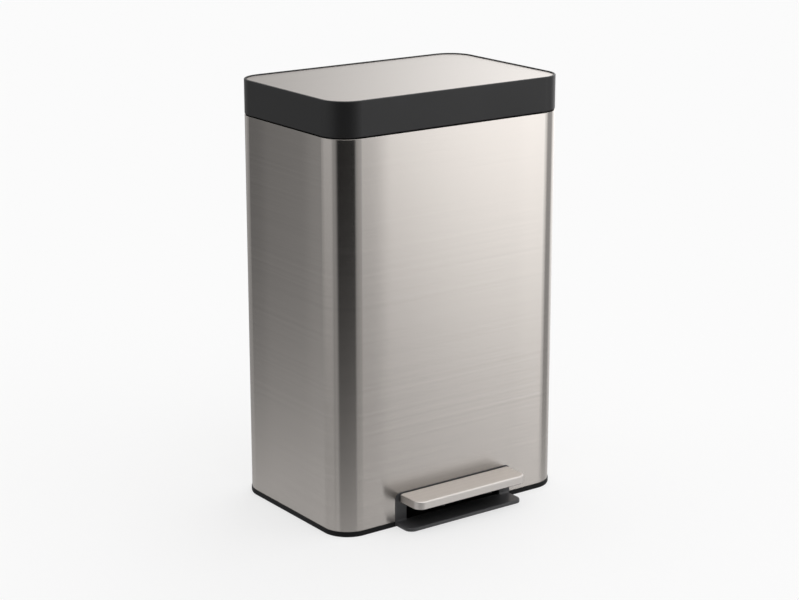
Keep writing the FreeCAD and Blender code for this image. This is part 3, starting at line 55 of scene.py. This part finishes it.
# %% [markdown]
# ## Where the camera stands
# A product shot of a tall box is taken from a step back and a little above, so that the front,
# one side and the top all show. A moderate telephoto lens keeps the edges nearly parallel.
# The camera is placed by an azimuth, a height angle and a distance from the middle of the can,
# because those three numbers are easy to compare with a photograph.

# %% Camera
VIEW_AZIMUTH = math.radians(-35.8)
VIEW_HEIGHT = math.radians(15.85)
VIEW_DISTANCE = 3.15
VIEW_TARGET = Vector((-0.0022, 0.0, 0.3028))
IMAGE_WIDTH = 799
FOCAL_PIXELS = 2052.0
SENSOR_WIDTH = 36.0
FARTHEST_SEEN = 100.0

looking = Vector((
    -math.sin(VIEW_AZIMUTH) * math.cos(VIEW_HEIGHT),
    math.cos(VIEW_AZIMUTH) * math.cos(VIEW_HEIGHT),
    -math.sin(VIEW_HEIGHT),
))
camera = bpy.data.objects.new("portrait_camera", bpy.data.cameras.new("portrait_lens"))
camera.data.sensor_width = SENSOR_WIDTH
camera.data.lens = SENSOR_WIDTH * FOCAL_PIXELS / IMAGE_WIDTH
camera.data.clip_end = FARTHEST_SEEN
camera.location = VIEW_TARGET - looking * VIEW_DISTANCE
camera.rotation_euler = looking.to_track_quat("-Z", "Y").to_euler()
scene.collection.objects.link(camera)
scene.camera = camera
print(f"camera at {[round(c, 2) for c in camera.location]} with a {camera.data.lens:.1f} mm lens")


# %% [markdown]
# ## Small tools for node trees
# A material is a graph, and a graph is easier to read when each node is made in one line: its kind,
# the values or links of its sockets, and its settings. The sums, steps and noises that come back in
# every finish have a name of their own.

# %% Node helpers
def node(tree, kind, inputs=None, **settings):
    """Add a node, set its properties, then set or link its input sockets by name or number."""
    made = tree.nodes.new(kind)
    for name, setting in settings.items():
        setattr(made, name, setting)
    for socket, source in (inputs or {}).items():
        if isinstance(source, bpy.types.NodeSocket):
            tree.links.new(source, made.inputs[socket])
        else:
            made.inputs[socket].default_value = source
    return made


def math_node(tree, operation, first, second=0.0):
    """The result socket of one sum."""
    return node(tree, "ShaderNodeMath", {0: first, 1: second}, operation=operation).outputs[0]


def rest_of(tree, share):
    """What a share leaves of 1."""
    return math_node(tree, "SUBTRACT", 1.0, share)


def blend(tree, factor, first, second):
    """The first value where the factor is 0, the second where it is 1."""
    return node(tree, "ShaderNodeMix", {"Factor": factor, 2: first, 3: second}, data_type="FLOAT").outputs[0]


def soft_step(tree, source, edges, levels=(0.0, 1.0), kind="SMOOTHSTEP"):
    """A smooth step from one level to another between two edges."""
    return node(tree, "ShaderNodeMapRange", {
        "Value": source, "From Min": edges[0], "From Max": edges[1],
        "To Min": levels[0], "To Max": levels[1],
    }, interpolation_type=kind).outputs["Result"]


def ramp(tree, factor, stops):
    """A colour ramp over greys, eased between its stops, which are (place, level)."""
    made = node(tree, "ShaderNodeValToRGB", {"Fac": factor})
    made.color_ramp.interpolation = "EASE"
    elements = made.color_ramp.elements
    while len(elements) < len(stops):
        elements.new(0.5)
    for element, (place, level) in zip(elements, stops):
        element.position = place
        element.color = (level, level, level, 1.0)
    return made.outputs["Color"]


def object_place(tree):
    """The place on the piece, in metres."""
    return node(tree, "ShaderNodeTexCoord").outputs["Object"]


def noise(tree, vector, settings):
    """The grey of a noise texture at a vector."""
    return node(tree, "ShaderNodeTexNoise", {"Vector": vector, **settings}).outputs["Fac"]


def toned(tree, colour, tone):
    """A colour that a tone makes lighter or darker."""
    return node(tree, "ShaderNodeVectorMath", {0: colour, "Scale": tone}, operation="SCALE").outputs[0]


def new_group(name, inputs, outputs):
    """A node group with named sockets, and the sockets that its inputs arrive at."""
    group = bpy.data.node_groups.new(name, "ShaderNodeTree")
    for socket, kind in inputs.items():
        group.interface.new_socket(name=socket, in_out="INPUT", socket_type=f"NodeSocket{kind}")
    for socket in outputs:
        group.interface.new_socket(name=socket, in_out="OUTPUT", socket_type="NodeSocketFloat")
    return group, node(group, "NodeGroupInput").outputs


def empty_material(name):
    """A material with nothing but its output."""
    material = bpy.data.materials.new(name)
    material.use_nodes = True
    material.node_tree.nodes.clear()
    return material, material.node_tree, material.node_tree.nodes.new("ShaderNodeOutputMaterial")


print("node helpers ready")

# %% [markdown]
# ## The studio's light
# Brushed steel has hardly any colour of its own: it shows the room. So the room is drawn with care.
# The camera sees nothing but pale paper. Every other ray sees what a photographer puts up to give
# steel its shape: soft boxes that are brighter than paper, dark cards and a soft ceiling. A soft box
# on the front right lights up the front, a dark card by the camera draws the near corner as a black
# stripe, and a grey one at the back left quiets the side. Lamps and real cards could do this, but
# they would stand in the way of other views. The world shader works the room out from the direction
# of a ray instead: its azimuth picks the card, and its height fades it.

# %% Cards and edges of the studio
FULL_TURN = 2.0 * math.pi
CARDS = [
    # azimuth in degrees from the front, towards the right side; and the level there, 1 being paper
    (-180, 0.55), (-165, 0.42), (-150, 0.14), (-144, 0.35), (-122, 0.72), (-92, 0.76), (-80, 0.44),
    (-62, 0.00), (0, 0.00), (12, 0.54), (25, 0.72), (33.4, 0.92), (36.2, 1.82), (38.5, 2.13),
    (41, 2.14), (48, 1.80), (62, 0.55), (84, 0.55), (104, 1.55), (138, 1.64), (150, 0.26),
    (166, 0.42), (180, 0.55),
]
BRIGHTEST_CARD = 3.0  # a ramp goes up to 1, so it holds the levels as shares of this one
# An edge is a pair of ray heights, from -1 straight down to 1 straight up, between which a card fades.
LOW_EDGE = (-0.42, -0.14)  # where soft boxes end, while dark cards go on down
HIGH_EDGE = (0.10, 0.36)
REAR_LIFT = 0.48  # the cards behind the can reach that much higher
REAR_EDGE = (-0.1, 0.5)  # the ray's y, from the sides to the back
SOFT_BOX_LEVELS = (0.20, 0.60)  # up to the first a card is dark, and from the second it is a soft box
GREY_CARD = 0.38  # a card that lies under the can
GREY_EDGE = (-0.82, -0.52)
CEILING_LEVEL = 1.35
CEILING_EDGE = (0.46, 0.80)
CEILING_LEAN = (0.19, 0.17)  # it hangs lower to the right and to the front
PAPER_LEVEL = 0.93
print(f"{len(CARDS)} stops round the horizon")

# %% World
world = bpy.data.worlds.new("studio")
world.use_nodes = True
scene.world = world
sky = world.node_tree
sky.nodes.clear()
ray = node(sky, "ShaderNodeSeparateXYZ", {0: node(sky, "ShaderNodeTexCoord").outputs["Generated"]})
height = ray.outputs["Z"]
forward = math_node(sky, "MULTIPLY", ray.outputs["Y"], -1.0)
azimuth = math_node(sky, "ARCTAN2", ray.outputs["X"], forward)
turn = math_node(sky, "ADD", math_node(sky, "DIVIDE", azimuth, FULL_TURN), 0.5)
card_stops = [((degrees + 180.0) / 360.0, level / BRIGHTEST_CARD) for degrees, level in CARDS]
card_level = math_node(sky, "MULTIPLY", ramp(sky, turn, card_stops), BRIGHTEST_CARD)

rear_lift = soft_step(sky, ray.outputs["Y"], REAR_EDGE, (0.0, REAR_LIFT))
not_above = soft_step(sky, math_node(sky, "SUBTRACT", height, rear_lift), HIGH_EDGE, (1.0, 0.0))
is_soft_box = soft_step(sky, card_level, SOFT_BOX_LEVELS)
is_below = rest_of(sky, soft_step(sky, height, LOW_EDGE))
not_below = rest_of(sky, math_node(sky, "MULTIPLY", is_soft_box, is_below))
cards = math_node(sky, "MULTIPLY", math_node(sky, "MULTIPLY", card_level, not_above), not_below)

lean_right = math_node(sky, "MULTIPLY", ray.outputs["X"], CEILING_LEAN[0])
lean_front = math_node(sky, "MULTIPLY", forward, CEILING_LEAN[1])
leaning = math_node(sky, "ADD", height, math_node(sky, "ADD", lean_right, lean_front))
ceiling = soft_step(sky, leaning, CEILING_EDGE, (0.0, CEILING_LEVEL))
underfoot = soft_step(sky, height, GREY_EDGE, (GREY_CARD, 0.0))
room = math_node(sky, "ADD", math_node(sky, "ADD", cards, ceiling), underfoot)
print("world drawn from", len(sky.nodes), "nodes")

# %% [markdown]
# ## Who sees the paper
# The same room lights dull pieces and shows in shiny ones. Only the camera's own rays meet flat paper
# instead, a little under white. Mirrors and clear pieces get the room at the paper's level, so that
# what they show goes with the background.

# %% Camera, mirrors and the rest
path = node(sky, "ShaderNodeLightPath").outputs
mirrored_ray = math_node(sky, "MAXIMUM", path["Is Glossy Ray"], path["Is Transmission Ray"])
clear_ray = math_node(sky, "MAXIMUM", path["Is Camera Ray"], mirrored_ray)
backdrop = blend(sky, path["Is Camera Ray"], room, 1.0)
light = node(sky, "ShaderNodeBackground", {"Color": room, "Strength": 1.0})
paper = node(sky, "ShaderNodeBackground", {"Color": backdrop, "Strength": PAPER_LEVEL})
shown = node(sky, "ShaderNodeMixShader", {"Fac": clear_ray, 1: light.outputs[0], 2: paper.outputs[0]})
node(sky, "ShaderNodeOutputWorld", {"Surface": shown.outputs[0]})
print(f"paper at {PAPER_LEVEL} of white")

# %% [markdown]
# ## The floor
# To the camera the floor is a closed sheet of the same paper. It scatters light, so that it keeps the
# can's shadow, and glows, so that it is as white as the paper behind. For every other ray the sheet
# thins out away from the can, and through the rest of it the ray goes on to the cards of the world.
# That is why the steel is lit from the floor at its foot and is darker higher up.

# %% Floor
FLOOR_HALF = 12.0
PAPER_SHARE = 0.67
PAPER_REACH = 0.51
PAPER_SCATTER = 0.34
PAPER_GLOW = 0.63
WHITE = (1.0, 1.0, 1.0, 1.0)

corners = np.array([(-1, -1, 0), (1, -1, 0), (1, 1, 0), (-1, 1, 0)], dtype=float) * FLOOR_HALF
floor_mesh = bpy.data.meshes.new("studio_floor")
floor_mesh.from_pydata(corners.tolist(), [], [(0, 1, 2, 3)])
floor = bpy.data.objects.new("studio_floor", floor_mesh)
scene.collection.objects.link(floor)

paper_material, tree, output = empty_material("floor_paper")
distance = node(tree, "ShaderNodeVectorMath", {0: object_place(tree)}, operation="LENGTH").outputs["Value"]
fall = math_node(tree, "EXPONENT", math_node(tree, "MULTIPLY", distance, -1.0 / PAPER_REACH))
open_share = rest_of(tree, math_node(tree, "MULTIPLY", fall, PAPER_SHARE))
camera_ray = node(tree, "ShaderNodeLightPath").outputs["Is Camera Ray"]
let_through = math_node(tree, "MULTIPLY", open_share, rest_of(tree, camera_ray))
scatter = node(tree, "ShaderNodeBsdfDiffuse", {"Color": (PAPER_SCATTER,) * 3 + (1.0,)})
glow = node(tree, "ShaderNodeEmission", {"Color": WHITE, "Strength": PAPER_GLOW})
sheet = node(tree, "ShaderNodeAddShader", {0: scatter.outputs[0], 1: glow.outputs[0]})
gap = node(tree, "ShaderNodeBsdfTransparent")
mixed = node(tree, "ShaderNodeMixShader", {"Fac": let_through, 1: sheet.outputs[0], 2: gap.outputs[0]})
tree.links.new(mixed.outputs[0], output.inputs["Surface"])
floor_mesh.materials.append(paper_material)
print(f"floor {2 * FLOOR_HALF:.0f} m wide")

# %% [markdown]
# ## Brushed grain, shared by the steels
# A brushing belt leaves thousands of shallow scratches, all in one direction. They spread a
# reflection across the grain and hardly along it, which the shader's anisotropy gives. What the
# eye sees close up is a fine streaking: noise that is stretched hundreds of times along the grain.
# The group takes a vector that is already stretched, and puts out a tone, a roughness and a height.

# %% Brushed grain group
FINE_STREAKS = {"Scale": 1.0, "Detail": 3.0, "Roughness": 0.65}
BROAD_BANDS = {"Scale": 0.12, "Detail": 2.0, "Roughness": 0.5}
FINE_SHARE = 0.65
BROAD_SHARE = 0.35
ROUGHNESS_SWING = 0.4


def brushed_grain_group():
    """Two layers of stretched noise: fine streaks, and broad bands from one stroke to the next."""
    inputs = {"Vector": "Vector", "Roughness": "Float", "Contrast": "Float"}
    group, entry = new_group("brushed_grain", inputs, ("Tone", "Roughness", "Height"))
    fine = noise(group, entry["Vector"], FINE_STREAKS)
    broad = noise(group, entry["Vector"], BROAD_BANDS)
    fine_part = math_node(group, "MULTIPLY", fine, FINE_SHARE)
    both = math_node(group, "ADD", fine_part, math_node(group, "MULTIPLY", broad, BROAD_SHARE))
    swing = math_node(group, "MULTIPLY", math_node(group, "SUBTRACT", both, 0.5), entry["Contrast"])
    rougher = math_node(group, "MULTIPLY", swing, ROUGHNESS_SWING)
    node(group, "NodeGroupOutput", {
        "Tone": math_node(group, "ADD", swing, 1.0),
        "Roughness": math_node(group, "ADD", rougher, entry["Roughness"]),
        "Height": fine,
    })
    return group


brushed_grain = brushed_grain_group()
print("group", brushed_grain.name)

# %% [markdown]
# ## Where the shell's bend begins
# Sheet that is folded round a corner isn't dead flat up to the fold: it starts to lean a few
# centimetres before, by a degree or so. Mirrored light shows this as a soft change of tone beside the
# corner. It is too slight for a shape of its own, so the finish leans the normal there: the height
# drops by a little over a millimetre, in a smooth step that is steepest where the corner starts.

# %% Early bend
CORNER_RADIUS = 0.041
BEND_REACH = 0.055
BEND_DROP = 0.0013
shell_half = np.abs(np.array(frame["nodes"]["outer_shell"].bound_box)).max(axis=0)


def early_bend(tree, place):
    """A normal that leans to the corners: the height falls by one smooth step in |x| and one in |y|."""
    spot = node(tree, "ShaderNodeSeparateXYZ", {0: place}).outputs
    drops = []
    for axis in (0, 1):
        start = float(shell_half[axis]) - CORNER_RADIUS
        edges = (start - BEND_REACH, start + BEND_REACH)
        outward = math_node(tree, "ABSOLUTE", spot[axis])
        drops.append(soft_step(tree, outward, edges, (0.0, -BEND_DROP), "SMOOTHERSTEP"))
    drop = math_node(tree, "ADD", *drops)
    return node(tree, "ShaderNodeBump", {"Strength": 1.0, "Distance": 1.0, "Height": drop}).outputs[0]


print("shell's half width and depth in mm:", [round(1000 * float(half), 1) for half in shell_half[:2]])

# %% [markdown]
# ## The three steels
# Shell, lid panel and pedal cap are stainless sheet, brushed in different directions: round the body
# on the shell, and across the width on the lid and the pedal. The stretch of the pattern gives the
# direction. The shell is the smoothest of the three, so only there does the smear across the grain
# show, and only it is anisotropic, turned a quarter to lay the smear across. The pedal cap has painted
# shade in its mirror image: mirror rays see its colour dimmed, so that its reflection in the shell is
# darker than the light makes it and does not lie as a bright patch above the pedal.

# %% Brushed steels
GRAIN_STRENGTH = 0.15
GRAIN_DEPTH = 0.0001
QUARTER_TURN = 0.25
ALONG = 3.0
ACROSS = 1400.0
ROUND_THE_BODY = (ALONG, ALONG, ACROSS)
ACROSS_THE_WIDTH = (ALONG, ACROSS, ACROSS)
WARM_STEEL = (0.65, 0.61, 0.575)
PALE_STEEL = (0.81, 0.77, 0.735)


def brushed_steel(name, colour, roughness, stretch, contrast, smear=0.0, bent=False, painted_mirror_tone=1.0):
    """Bright sheet or bar: the grain runs along the axes with the small stretch."""
    material, tree, output = empty_material(name)
    place = object_place(tree)
    stretched = node(tree, "ShaderNodeMapping", {"Vector": place, "Scale": stretch}).outputs[0]
    grain = node(tree, "ShaderNodeGroup", node_tree=brushed_grain)
    tree.links.new(stretched, grain.inputs["Vector"])
    grain.inputs["Roughness"].default_value = roughness
    grain.inputs["Contrast"].default_value = contrast
    tone = grain.outputs["Tone"]
    # Painted shade: mirror rays see this steel's colour dimmed to the given share of its tone.
    if painted_mirror_tone < 1.0:
        in_mirror = node(tree, "ShaderNodeLightPath").outputs["Is Glossy Ray"]
        tone = math_node(tree, "MULTIPLY", tone, blend(tree, in_mirror, 1.0, painted_mirror_tone))
    bump = node(tree, "ShaderNodeBump", {
        "Strength": GRAIN_STRENGTH, "Distance": GRAIN_DEPTH, "Height": grain.outputs["Height"],
    })
    if bent:
        tree.links.new(early_bend(tree, place), bump.inputs["Normal"])
    steel = node(tree, "ShaderNodeBsdfPrincipled", {
        "Base Color": toned(tree, colour, tone), "Metallic": 1.0, "Roughness": grain.outputs["Roughness"],
        "Anisotropic": smear, "Anisotropic Rotation": QUARTER_TURN, "Normal": bump.outputs[0],
    })
    tree.links.new(steel.outputs[0], output.inputs["Surface"])
    return material


shell_steel = brushed_steel(
    "brushed_shell_steel", WARM_STEEL, 0.20, ROUND_THE_BODY, contrast=0.24, smear=0.9, bent=True)
lid_steel = brushed_steel("brushed_lid_steel", WARM_STEEL, 0.36, ACROSS_THE_WIDTH, contrast=0.16)
# The pedal cap shows at 0.4 of its tone in mirrors, a painted shade in its reflection.
pedal_steel = brushed_steel(
    "brushed_pedal_steel", PALE_STEEL, 0.48, ACROSS_THE_WIDTH, contrast=0.18, painted_mirror_tone=0.4)
print("steels:", shell_steel.name, lid_steel.name, pedal_steel.name)

# %% [markdown]
# ## Moulded skins
# A plastic moulding carries the fine spark texture of its tool. It is too small to see from a step
# away, but it breaks the gloss into a satin sheen. One group gives every plastic and rubber its own
# texture size: a height for the bump, and a tone and a roughness that wander a little.

# %% Moulded skin group
SPARK_DETAIL = 2.0
CLOUDS = {"Scale": 9.0, "Detail": 2.0}
CLOUD_SWING = 0.12


def moulded_skin_group():
    """Fine grain for the height, broad clouds for the tone and the roughness."""
    inputs = {"Vector": "Vector", "Grain": "Float", "Roughness": "Float"}
    group, entry = new_group("moulded_skin", inputs, ("Tone", "Roughness", "Height"))
    spark = noise(group, entry["Vector"], {"Scale": entry["Grain"], "Detail": SPARK_DETAIL})
    clouds = noise(group, entry["Vector"], CLOUDS)
    wander = math_node(group, "MULTIPLY", math_node(group, "SUBTRACT", clouds, 0.5), CLOUD_SWING)
    node(group, "NodeGroupOutput", {
        "Tone": math_node(group, "ADD", wander, 1.0),
        "Roughness": math_node(group, "ADD", wander, entry["Roughness"]),
        "Height": spark,
    })
    return group


moulded_skin = moulded_skin_group()
print("group", moulded_skin.name)

# %% [markdown]
# ## Plastics, rubber and coating
# The lid's band is satin, and the base is matt and nearly without gloss. The pedal's surround is the
# same black moulding as the base, but satin, and its colour is painted lighter: painted light, for its
# face and toe plate catch the light. The base's black is painted darker, a painted shade for its rim,
# which faces down. The bucket is dark grey, the bushes are natural nylon, and the damper is glossy. The
# pedal's lever is steel under a black coat, which looks like a moulding with a coarser skin, so it is
# made the same way.

# %% Mouldings
SKIN_STRENGTH = 0.3
SKIN_DEPTH = 0.00008


def moulding(name, colour, roughness, grain, gloss=0.5):
    """A plastic, rubber or coat with its own skin."""
    material, tree, output = empty_material(name)
    skin = node(tree, "ShaderNodeGroup", node_tree=moulded_skin)
    tree.links.new(object_place(tree), skin.inputs["Vector"])
    skin.inputs["Grain"].default_value = grain
    skin.inputs["Roughness"].default_value = roughness
    bump = node(tree, "ShaderNodeBump", {
        "Strength": SKIN_STRENGTH, "Distance": SKIN_DEPTH, "Height": skin.outputs["Height"],
    })
    plastic = node(tree, "ShaderNodeBsdfPrincipled", {
        "Base Color": toned(tree, colour, skin.outputs["Tone"]), "Roughness": skin.outputs["Roughness"],
        "Specular IOR Level": gloss, "Normal": bump.outputs[0],
    })
    tree.links.new(plastic.outputs[0], output.inputs["Surface"])
    return material


lid_black = moulding("satin_lid_black", (0.024, 0.024, 0.025), 0.42, 1800.0)
# Painted shade and light: one black moulding, painted darker on the base and lighter on the surround.
base_black = moulding("matt_base_black_painted_darker", (0.007, 0.007, 0.0075), 0.55, 1500.0, gloss=0.2)
lit_copy_surround_black = moulding("surround_black_with_painted_light", (0.072, 0.072, 0.075), 0.42, 1500.0)
inner_grey = moulding("bucket_grey", (0.075, 0.075, 0.08), 0.55, 900.0)
bush_nylon = moulding("natural_nylon", (0.70, 0.68, 0.61), 0.48, 1500.0)
damper_black = moulding("glossy_damper_black", (0.015, 0.015, 0.016), 0.22, 1500.0)
soft_black = moulding("soft_black_rubber", (0.012, 0.012, 0.012), 0.75, 1200.0)
lever_black = moulding("black_coated_steel", (0.016, 0.016, 0.017), 0.38, 700.0)
print("mouldings:", lid_black.name, base_black.name, lit_copy_surround_black.name, inner_grey.name)
print("small pieces:", bush_nylon.name, damper_black.name, soft_black.name, lever_black.name)

# %% [markdown]
# ## Plated and ground metal
# Brackets, yoke, crank and channel are zinc-plated, and so are the screws: a pale metal with cloudy
# patches where the plating grew unevenly. Pins and shafts are ground bright, and the wheel leaves fine
# rings round them, so they take the brushed grain with its stretch turned to their own axis, x. The
# push rod stands upright and is drawn through a die, so on it the same pattern runs lengthwise.

# %% Plated and ground metal
PLATING_DETAIL = 4.0
PLATING_TONES = (0.82, 1.12)
PLATING_ROUGHNESS = (-0.06, 0.08)
GRINDING_RINGS = (1500.0, 60.0, 60.0)


def plated(name, colour, roughness, patch):
    """Zinc plating: one noise moves both the tone and the roughness, in soft patches."""
    material, tree, output = empty_material(name)
    clouds = noise(tree, object_place(tree), {"Scale": patch, "Detail": PLATING_DETAIL})
    tone = node(tree, "ShaderNodeMapRange", {
        "Value": clouds, "To Min": PLATING_TONES[0], "To Max": PLATING_TONES[1],
    }).outputs["Result"]
    rough = node(tree, "ShaderNodeMapRange", {
        "Value": clouds,
        "To Min": roughness + PLATING_ROUGHNESS[0], "To Max": roughness + PLATING_ROUGHNESS[1],
    }).outputs["Result"]
    metal = node(tree, "ShaderNodeBsdfPrincipled", {
        "Base Color": toned(tree, colour, tone), "Metallic": 1.0, "Roughness": rough,
    })
    tree.links.new(metal.outputs[0], output.inputs["Surface"])
    return material


zinc_steel = plated("zinc_plated_steel", (0.58, 0.58, 0.57), 0.34, 60.0)
screw_zinc = plated("zinc_plated_screws", (0.62, 0.62, 0.58), 0.28, 200.0)
bright_pin = brushed_steel("ground_pin_steel", (0.70, 0.70, 0.69), 0.18, GRINDING_RINGS, contrast=0.12)
print("metals:", zinc_steel.name, screw_zinc.name, bright_pin.name)

# %% [markdown]
# ## Putting the finishes on
# Every CAD node names a slot in its record. A table from slot to finish dresses all of them at once.
# Only the pedal's surround shares its slot with the matt pieces of the base and still gets a finish of
# its own by name: a lighter copy of the same black, which is painted light.

# %% Assign the finishes
FINISHES = {
    "shell_steel": shell_steel, "lid_steel": lid_steel, "pedal_steel": pedal_steel,
    "lid_black": lid_black, "base_black": base_black, "inner_grey": inner_grey,
    "bush_nylon": bush_nylon, "damper_black": damper_black, "soft_black": soft_black,
    "zinc_steel": zinc_steel, "screw_zinc": screw_zinc, "bright_pin": bright_pin,
    "lever_black": lever_black,
}
for part in frame["record"]["subparts"]:
    for slot in frame["nodes"][part["node"]].material_slots:
        slot.material = FINISHES[part["material_slot"]]
# The surround's lighter copy of the base's black is painted light.
frame["nodes"]["pedal_surround"].material_slots[0].material = lit_copy_surround_black

# %% [markdown]
# ## Screws with a driven cross
# In the solids a screw is a plain round head on a shank. A real one is headed cold: a punch domes the
# head and drives a cross into it for the bit. The cross could be cut with booleans, but they leave long
# thin faces to clean up. Here the whole screw is one surface of two parameters, a way down its profile
# and a turn round its axis, and the cross is only a dip in the height of the dome.

# %% Screw surface
TURN_STEPS = 64
DOME_STEPS = 20
DOME_DROP = 0.42
CROSS_REACH = 0.66
CROSS_HALF_WIDTH = 0.15
CROSS_DEPTH = 0.55
CROSS_FLANK = 0.08
TIP_TAPER = 0.6


def inside(distance, edge):
    """1 inside an edge and 0 outside it, with a straight flank between."""
    return np.clip((edge - distance) / CROSS_FLANK + 0.5, 0.0, 1.0)


def screw_surface(head_radius, head_height, shank_radius, shank_length):
    """Points and faces of one screw: its head stands on z = 0 and its shank hangs below.

    On the dome, a point at the share s of the head's radius and the turn t has the height
    H (1 - drop s^2 - depth c), where c is 1 in the cross: the larger of two crossed bars, each
    |x| < reach and |y| < half width, with x = s cos t and y = s sin t. The rings that follow are
    plain circles: rim, underside, shank and tip."""
    turn = np.linspace(0.0, 2.0 * np.pi, TURN_STEPS, endpoint=False)
    share = np.linspace(0.0, 1.0, DOME_STEPS + 1)[1:, None]
    x = np.abs(share * np.cos(turn))
    y = np.abs(share * np.sin(turn))
    bar = inside(x, CROSS_REACH) * inside(y, CROSS_HALF_WIDTH)
    crossing_bar = inside(y, CROSS_REACH) * inside(x, CROSS_HALF_WIDTH)
    cross = np.maximum(bar, crossing_bar)
    dome = head_height * (1.0 - DOME_DROP * share ** 2 - CROSS_DEPTH * cross)
    circles = np.array([
        (head_radius, 0.0), (shank_radius, 0.0), (shank_radius, shank_radius - shank_length),
        (shank_radius * (1.0 - TIP_TAPER), -shank_length),
    ])
    radius = np.concatenate([share[:, 0] * head_radius, circles[:, 0]])[:, None]
    height = np.concatenate([dome, np.repeat(circles[:, 1:], TURN_STEPS, axis=1)])
    rings = np.stack([radius * np.cos(turn), radius * np.sin(turn), height], axis=-1).reshape(-1, 3)
    middle = head_height * (1.0 - CROSS_DEPTH)
    points = np.vstack([rings, (0.0, 0.0, middle), (0.0, 0.0, -shank_length)])

    here = np.arange(TURN_STEPS)
    after = np.roll(here, -1)
    start = np.arange(len(radius) - 1)[:, None] * TURN_STEPS
    below = start + TURN_STEPS
    quads = np.stack([start + here, below + here, below + after, start + after], axis=-1)
    crown = np.stack([np.full(TURN_STEPS, len(rings)), here, after], axis=-1)
    tip = np.stack([np.full(TURN_STEPS, len(rings) + 1), below[-1] + after, below[-1] + here], axis=-1)
    return points, quads.reshape(-1, 4), np.vstack([crown, tip])


sample_points, sample_quads, sample_fans = screw_surface(
    head_radius=0.0035, head_height=0.0025, shank_radius=0.0015, shank_length=0.010)
print(f"one screw: {len(sample_points)} points, {2 * len(sample_quads) + len(sample_fans)} triangles")

# %% [markdown]
# ## Setting the screws
# Each screw takes its seat and its sizes from the solid that it stands for, so that it stays right when
# the model changes. The flat ends of the shanks are found first: they lie well apart, so points that are
# close to each other belong to one screw. All screws of a node are alike, and the first one is measured.

# %% Measure and place the screws
SHANK_SPAN = 0.006
HEAD_REACH = 0.0045
SAME_PLANE = 1e-5
RIM_SHARE = 0.95
SHARP_ANGLE = math.radians(40.0)


def screw_axes(ends):
    """The middle of each shank's end, in a cloud of points that lie on them."""
    middles = []
    while len(ends):
        near = np.linalg.norm(ends - ends[0], axis=1) < SHANK_SPAN
        middles.append((ends[near].min(axis=0) + ends[near].max(axis=0)) / 2)
        ends = ends[~near]
    return np.array(middles)


def set_screws(name, axis, way):
    """One mesh with every screw of a node, each on the axis of the solid that it stands for.

    The surface of one screw is turned so that its z runs against the way in, then moved to each seat."""
    solid = frame["nodes"][name]
    flat = np.empty(3 * len(solid.data.vertices))
    solid.data.vertices.foreach_get("co", flat)
    cloud = flat.reshape(-1, 3)
    depth = cloud[:, axis] * way
    is_end = depth > depth.max() - SAME_PLANE
    middles = screw_axes(cloud[is_end])
    reach = np.linalg.norm(np.delete(cloud - middles[0], axis, axis=1), axis=1)
    own = reach < HEAD_REACH
    head_radius = reach[own].max()
    head = depth[own & (reach > RIM_SHARE * head_radius)]
    shank_radius = reach[own & is_end].max()
    points, quads, fans = screw_surface(head_radius, np.ptp(head), shank_radius, depth.max() - head.max())

    up = -way * np.eye(3)[axis]
    side = np.eye(3)[(axis + 1) % 3]
    turned = points @ np.array([side, np.cross(up, side), up])
    seats = middles.copy()
    seats[:, axis] = head.max() * way
    placed = (seats[:, None, :] + turned).reshape(-1, 3)
    shift = np.arange(len(seats))[:, None, None] * len(points)
    faces = (quads + shift).reshape(-1, 4).tolist() + (fans + shift).reshape(-1, 3).tolist()
    mesh = bpy.data.meshes.new(f"crossed_{name}")
    mesh.from_pydata(placed.tolist(), [], faces)
    mesh.polygons.foreach_set("use_smooth", np.ones(len(mesh.polygons), dtype=bool))
    mesh.set_sharp_from_angle(angle=SHARP_ANGLE)
    piece = bpy.data.objects.new(f"crossed_{name}", mesh)
    scene.collection.objects.link(piece)
    return piece, len(seats)


print(f"points within {1000 * SHANK_SPAN:.0f} mm on the ends belong to one screw")

# %% [markdown]
# ## One piece for each set of screws
# The new screws take the place of the plain ones. They ride on the same body and keep the same slot,
# so the lid's screws still swing with the lid and the pedal's go down with the pedal.

# %% Replace the screws
SCREW_WAYS = {
    # node: the axis that its screws lie along, and the way that they go in
    "lid_cover_screws": (2, 1), "yoke_screws": (2, 1), "pedal_screws": (2, 1),
    "hinge_bracket_screws": (2, -1), "cover_screws": (2, -1), "damper_screws": (2, -1),
    "channel_screws": (2, -1), "saddle_screws": (2, -1), "surround_screws": (1, -1),
}
body_of = {name: body for body, names in frame["record"]["behaviour"]["bodies"].items() for name in names}
slot_of = {part["node"]: part["material_slot"] for part in frame["record"]["subparts"]}
for name, (axis, way) in SCREW_WAYS.items():
    piece, count = set_screws(name, axis, way)
    piece.data.materials.append(FINISHES[slot_of[name]])
    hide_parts(name)
    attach(piece, body_of[name])
    print(f"{name}: {count} screws")
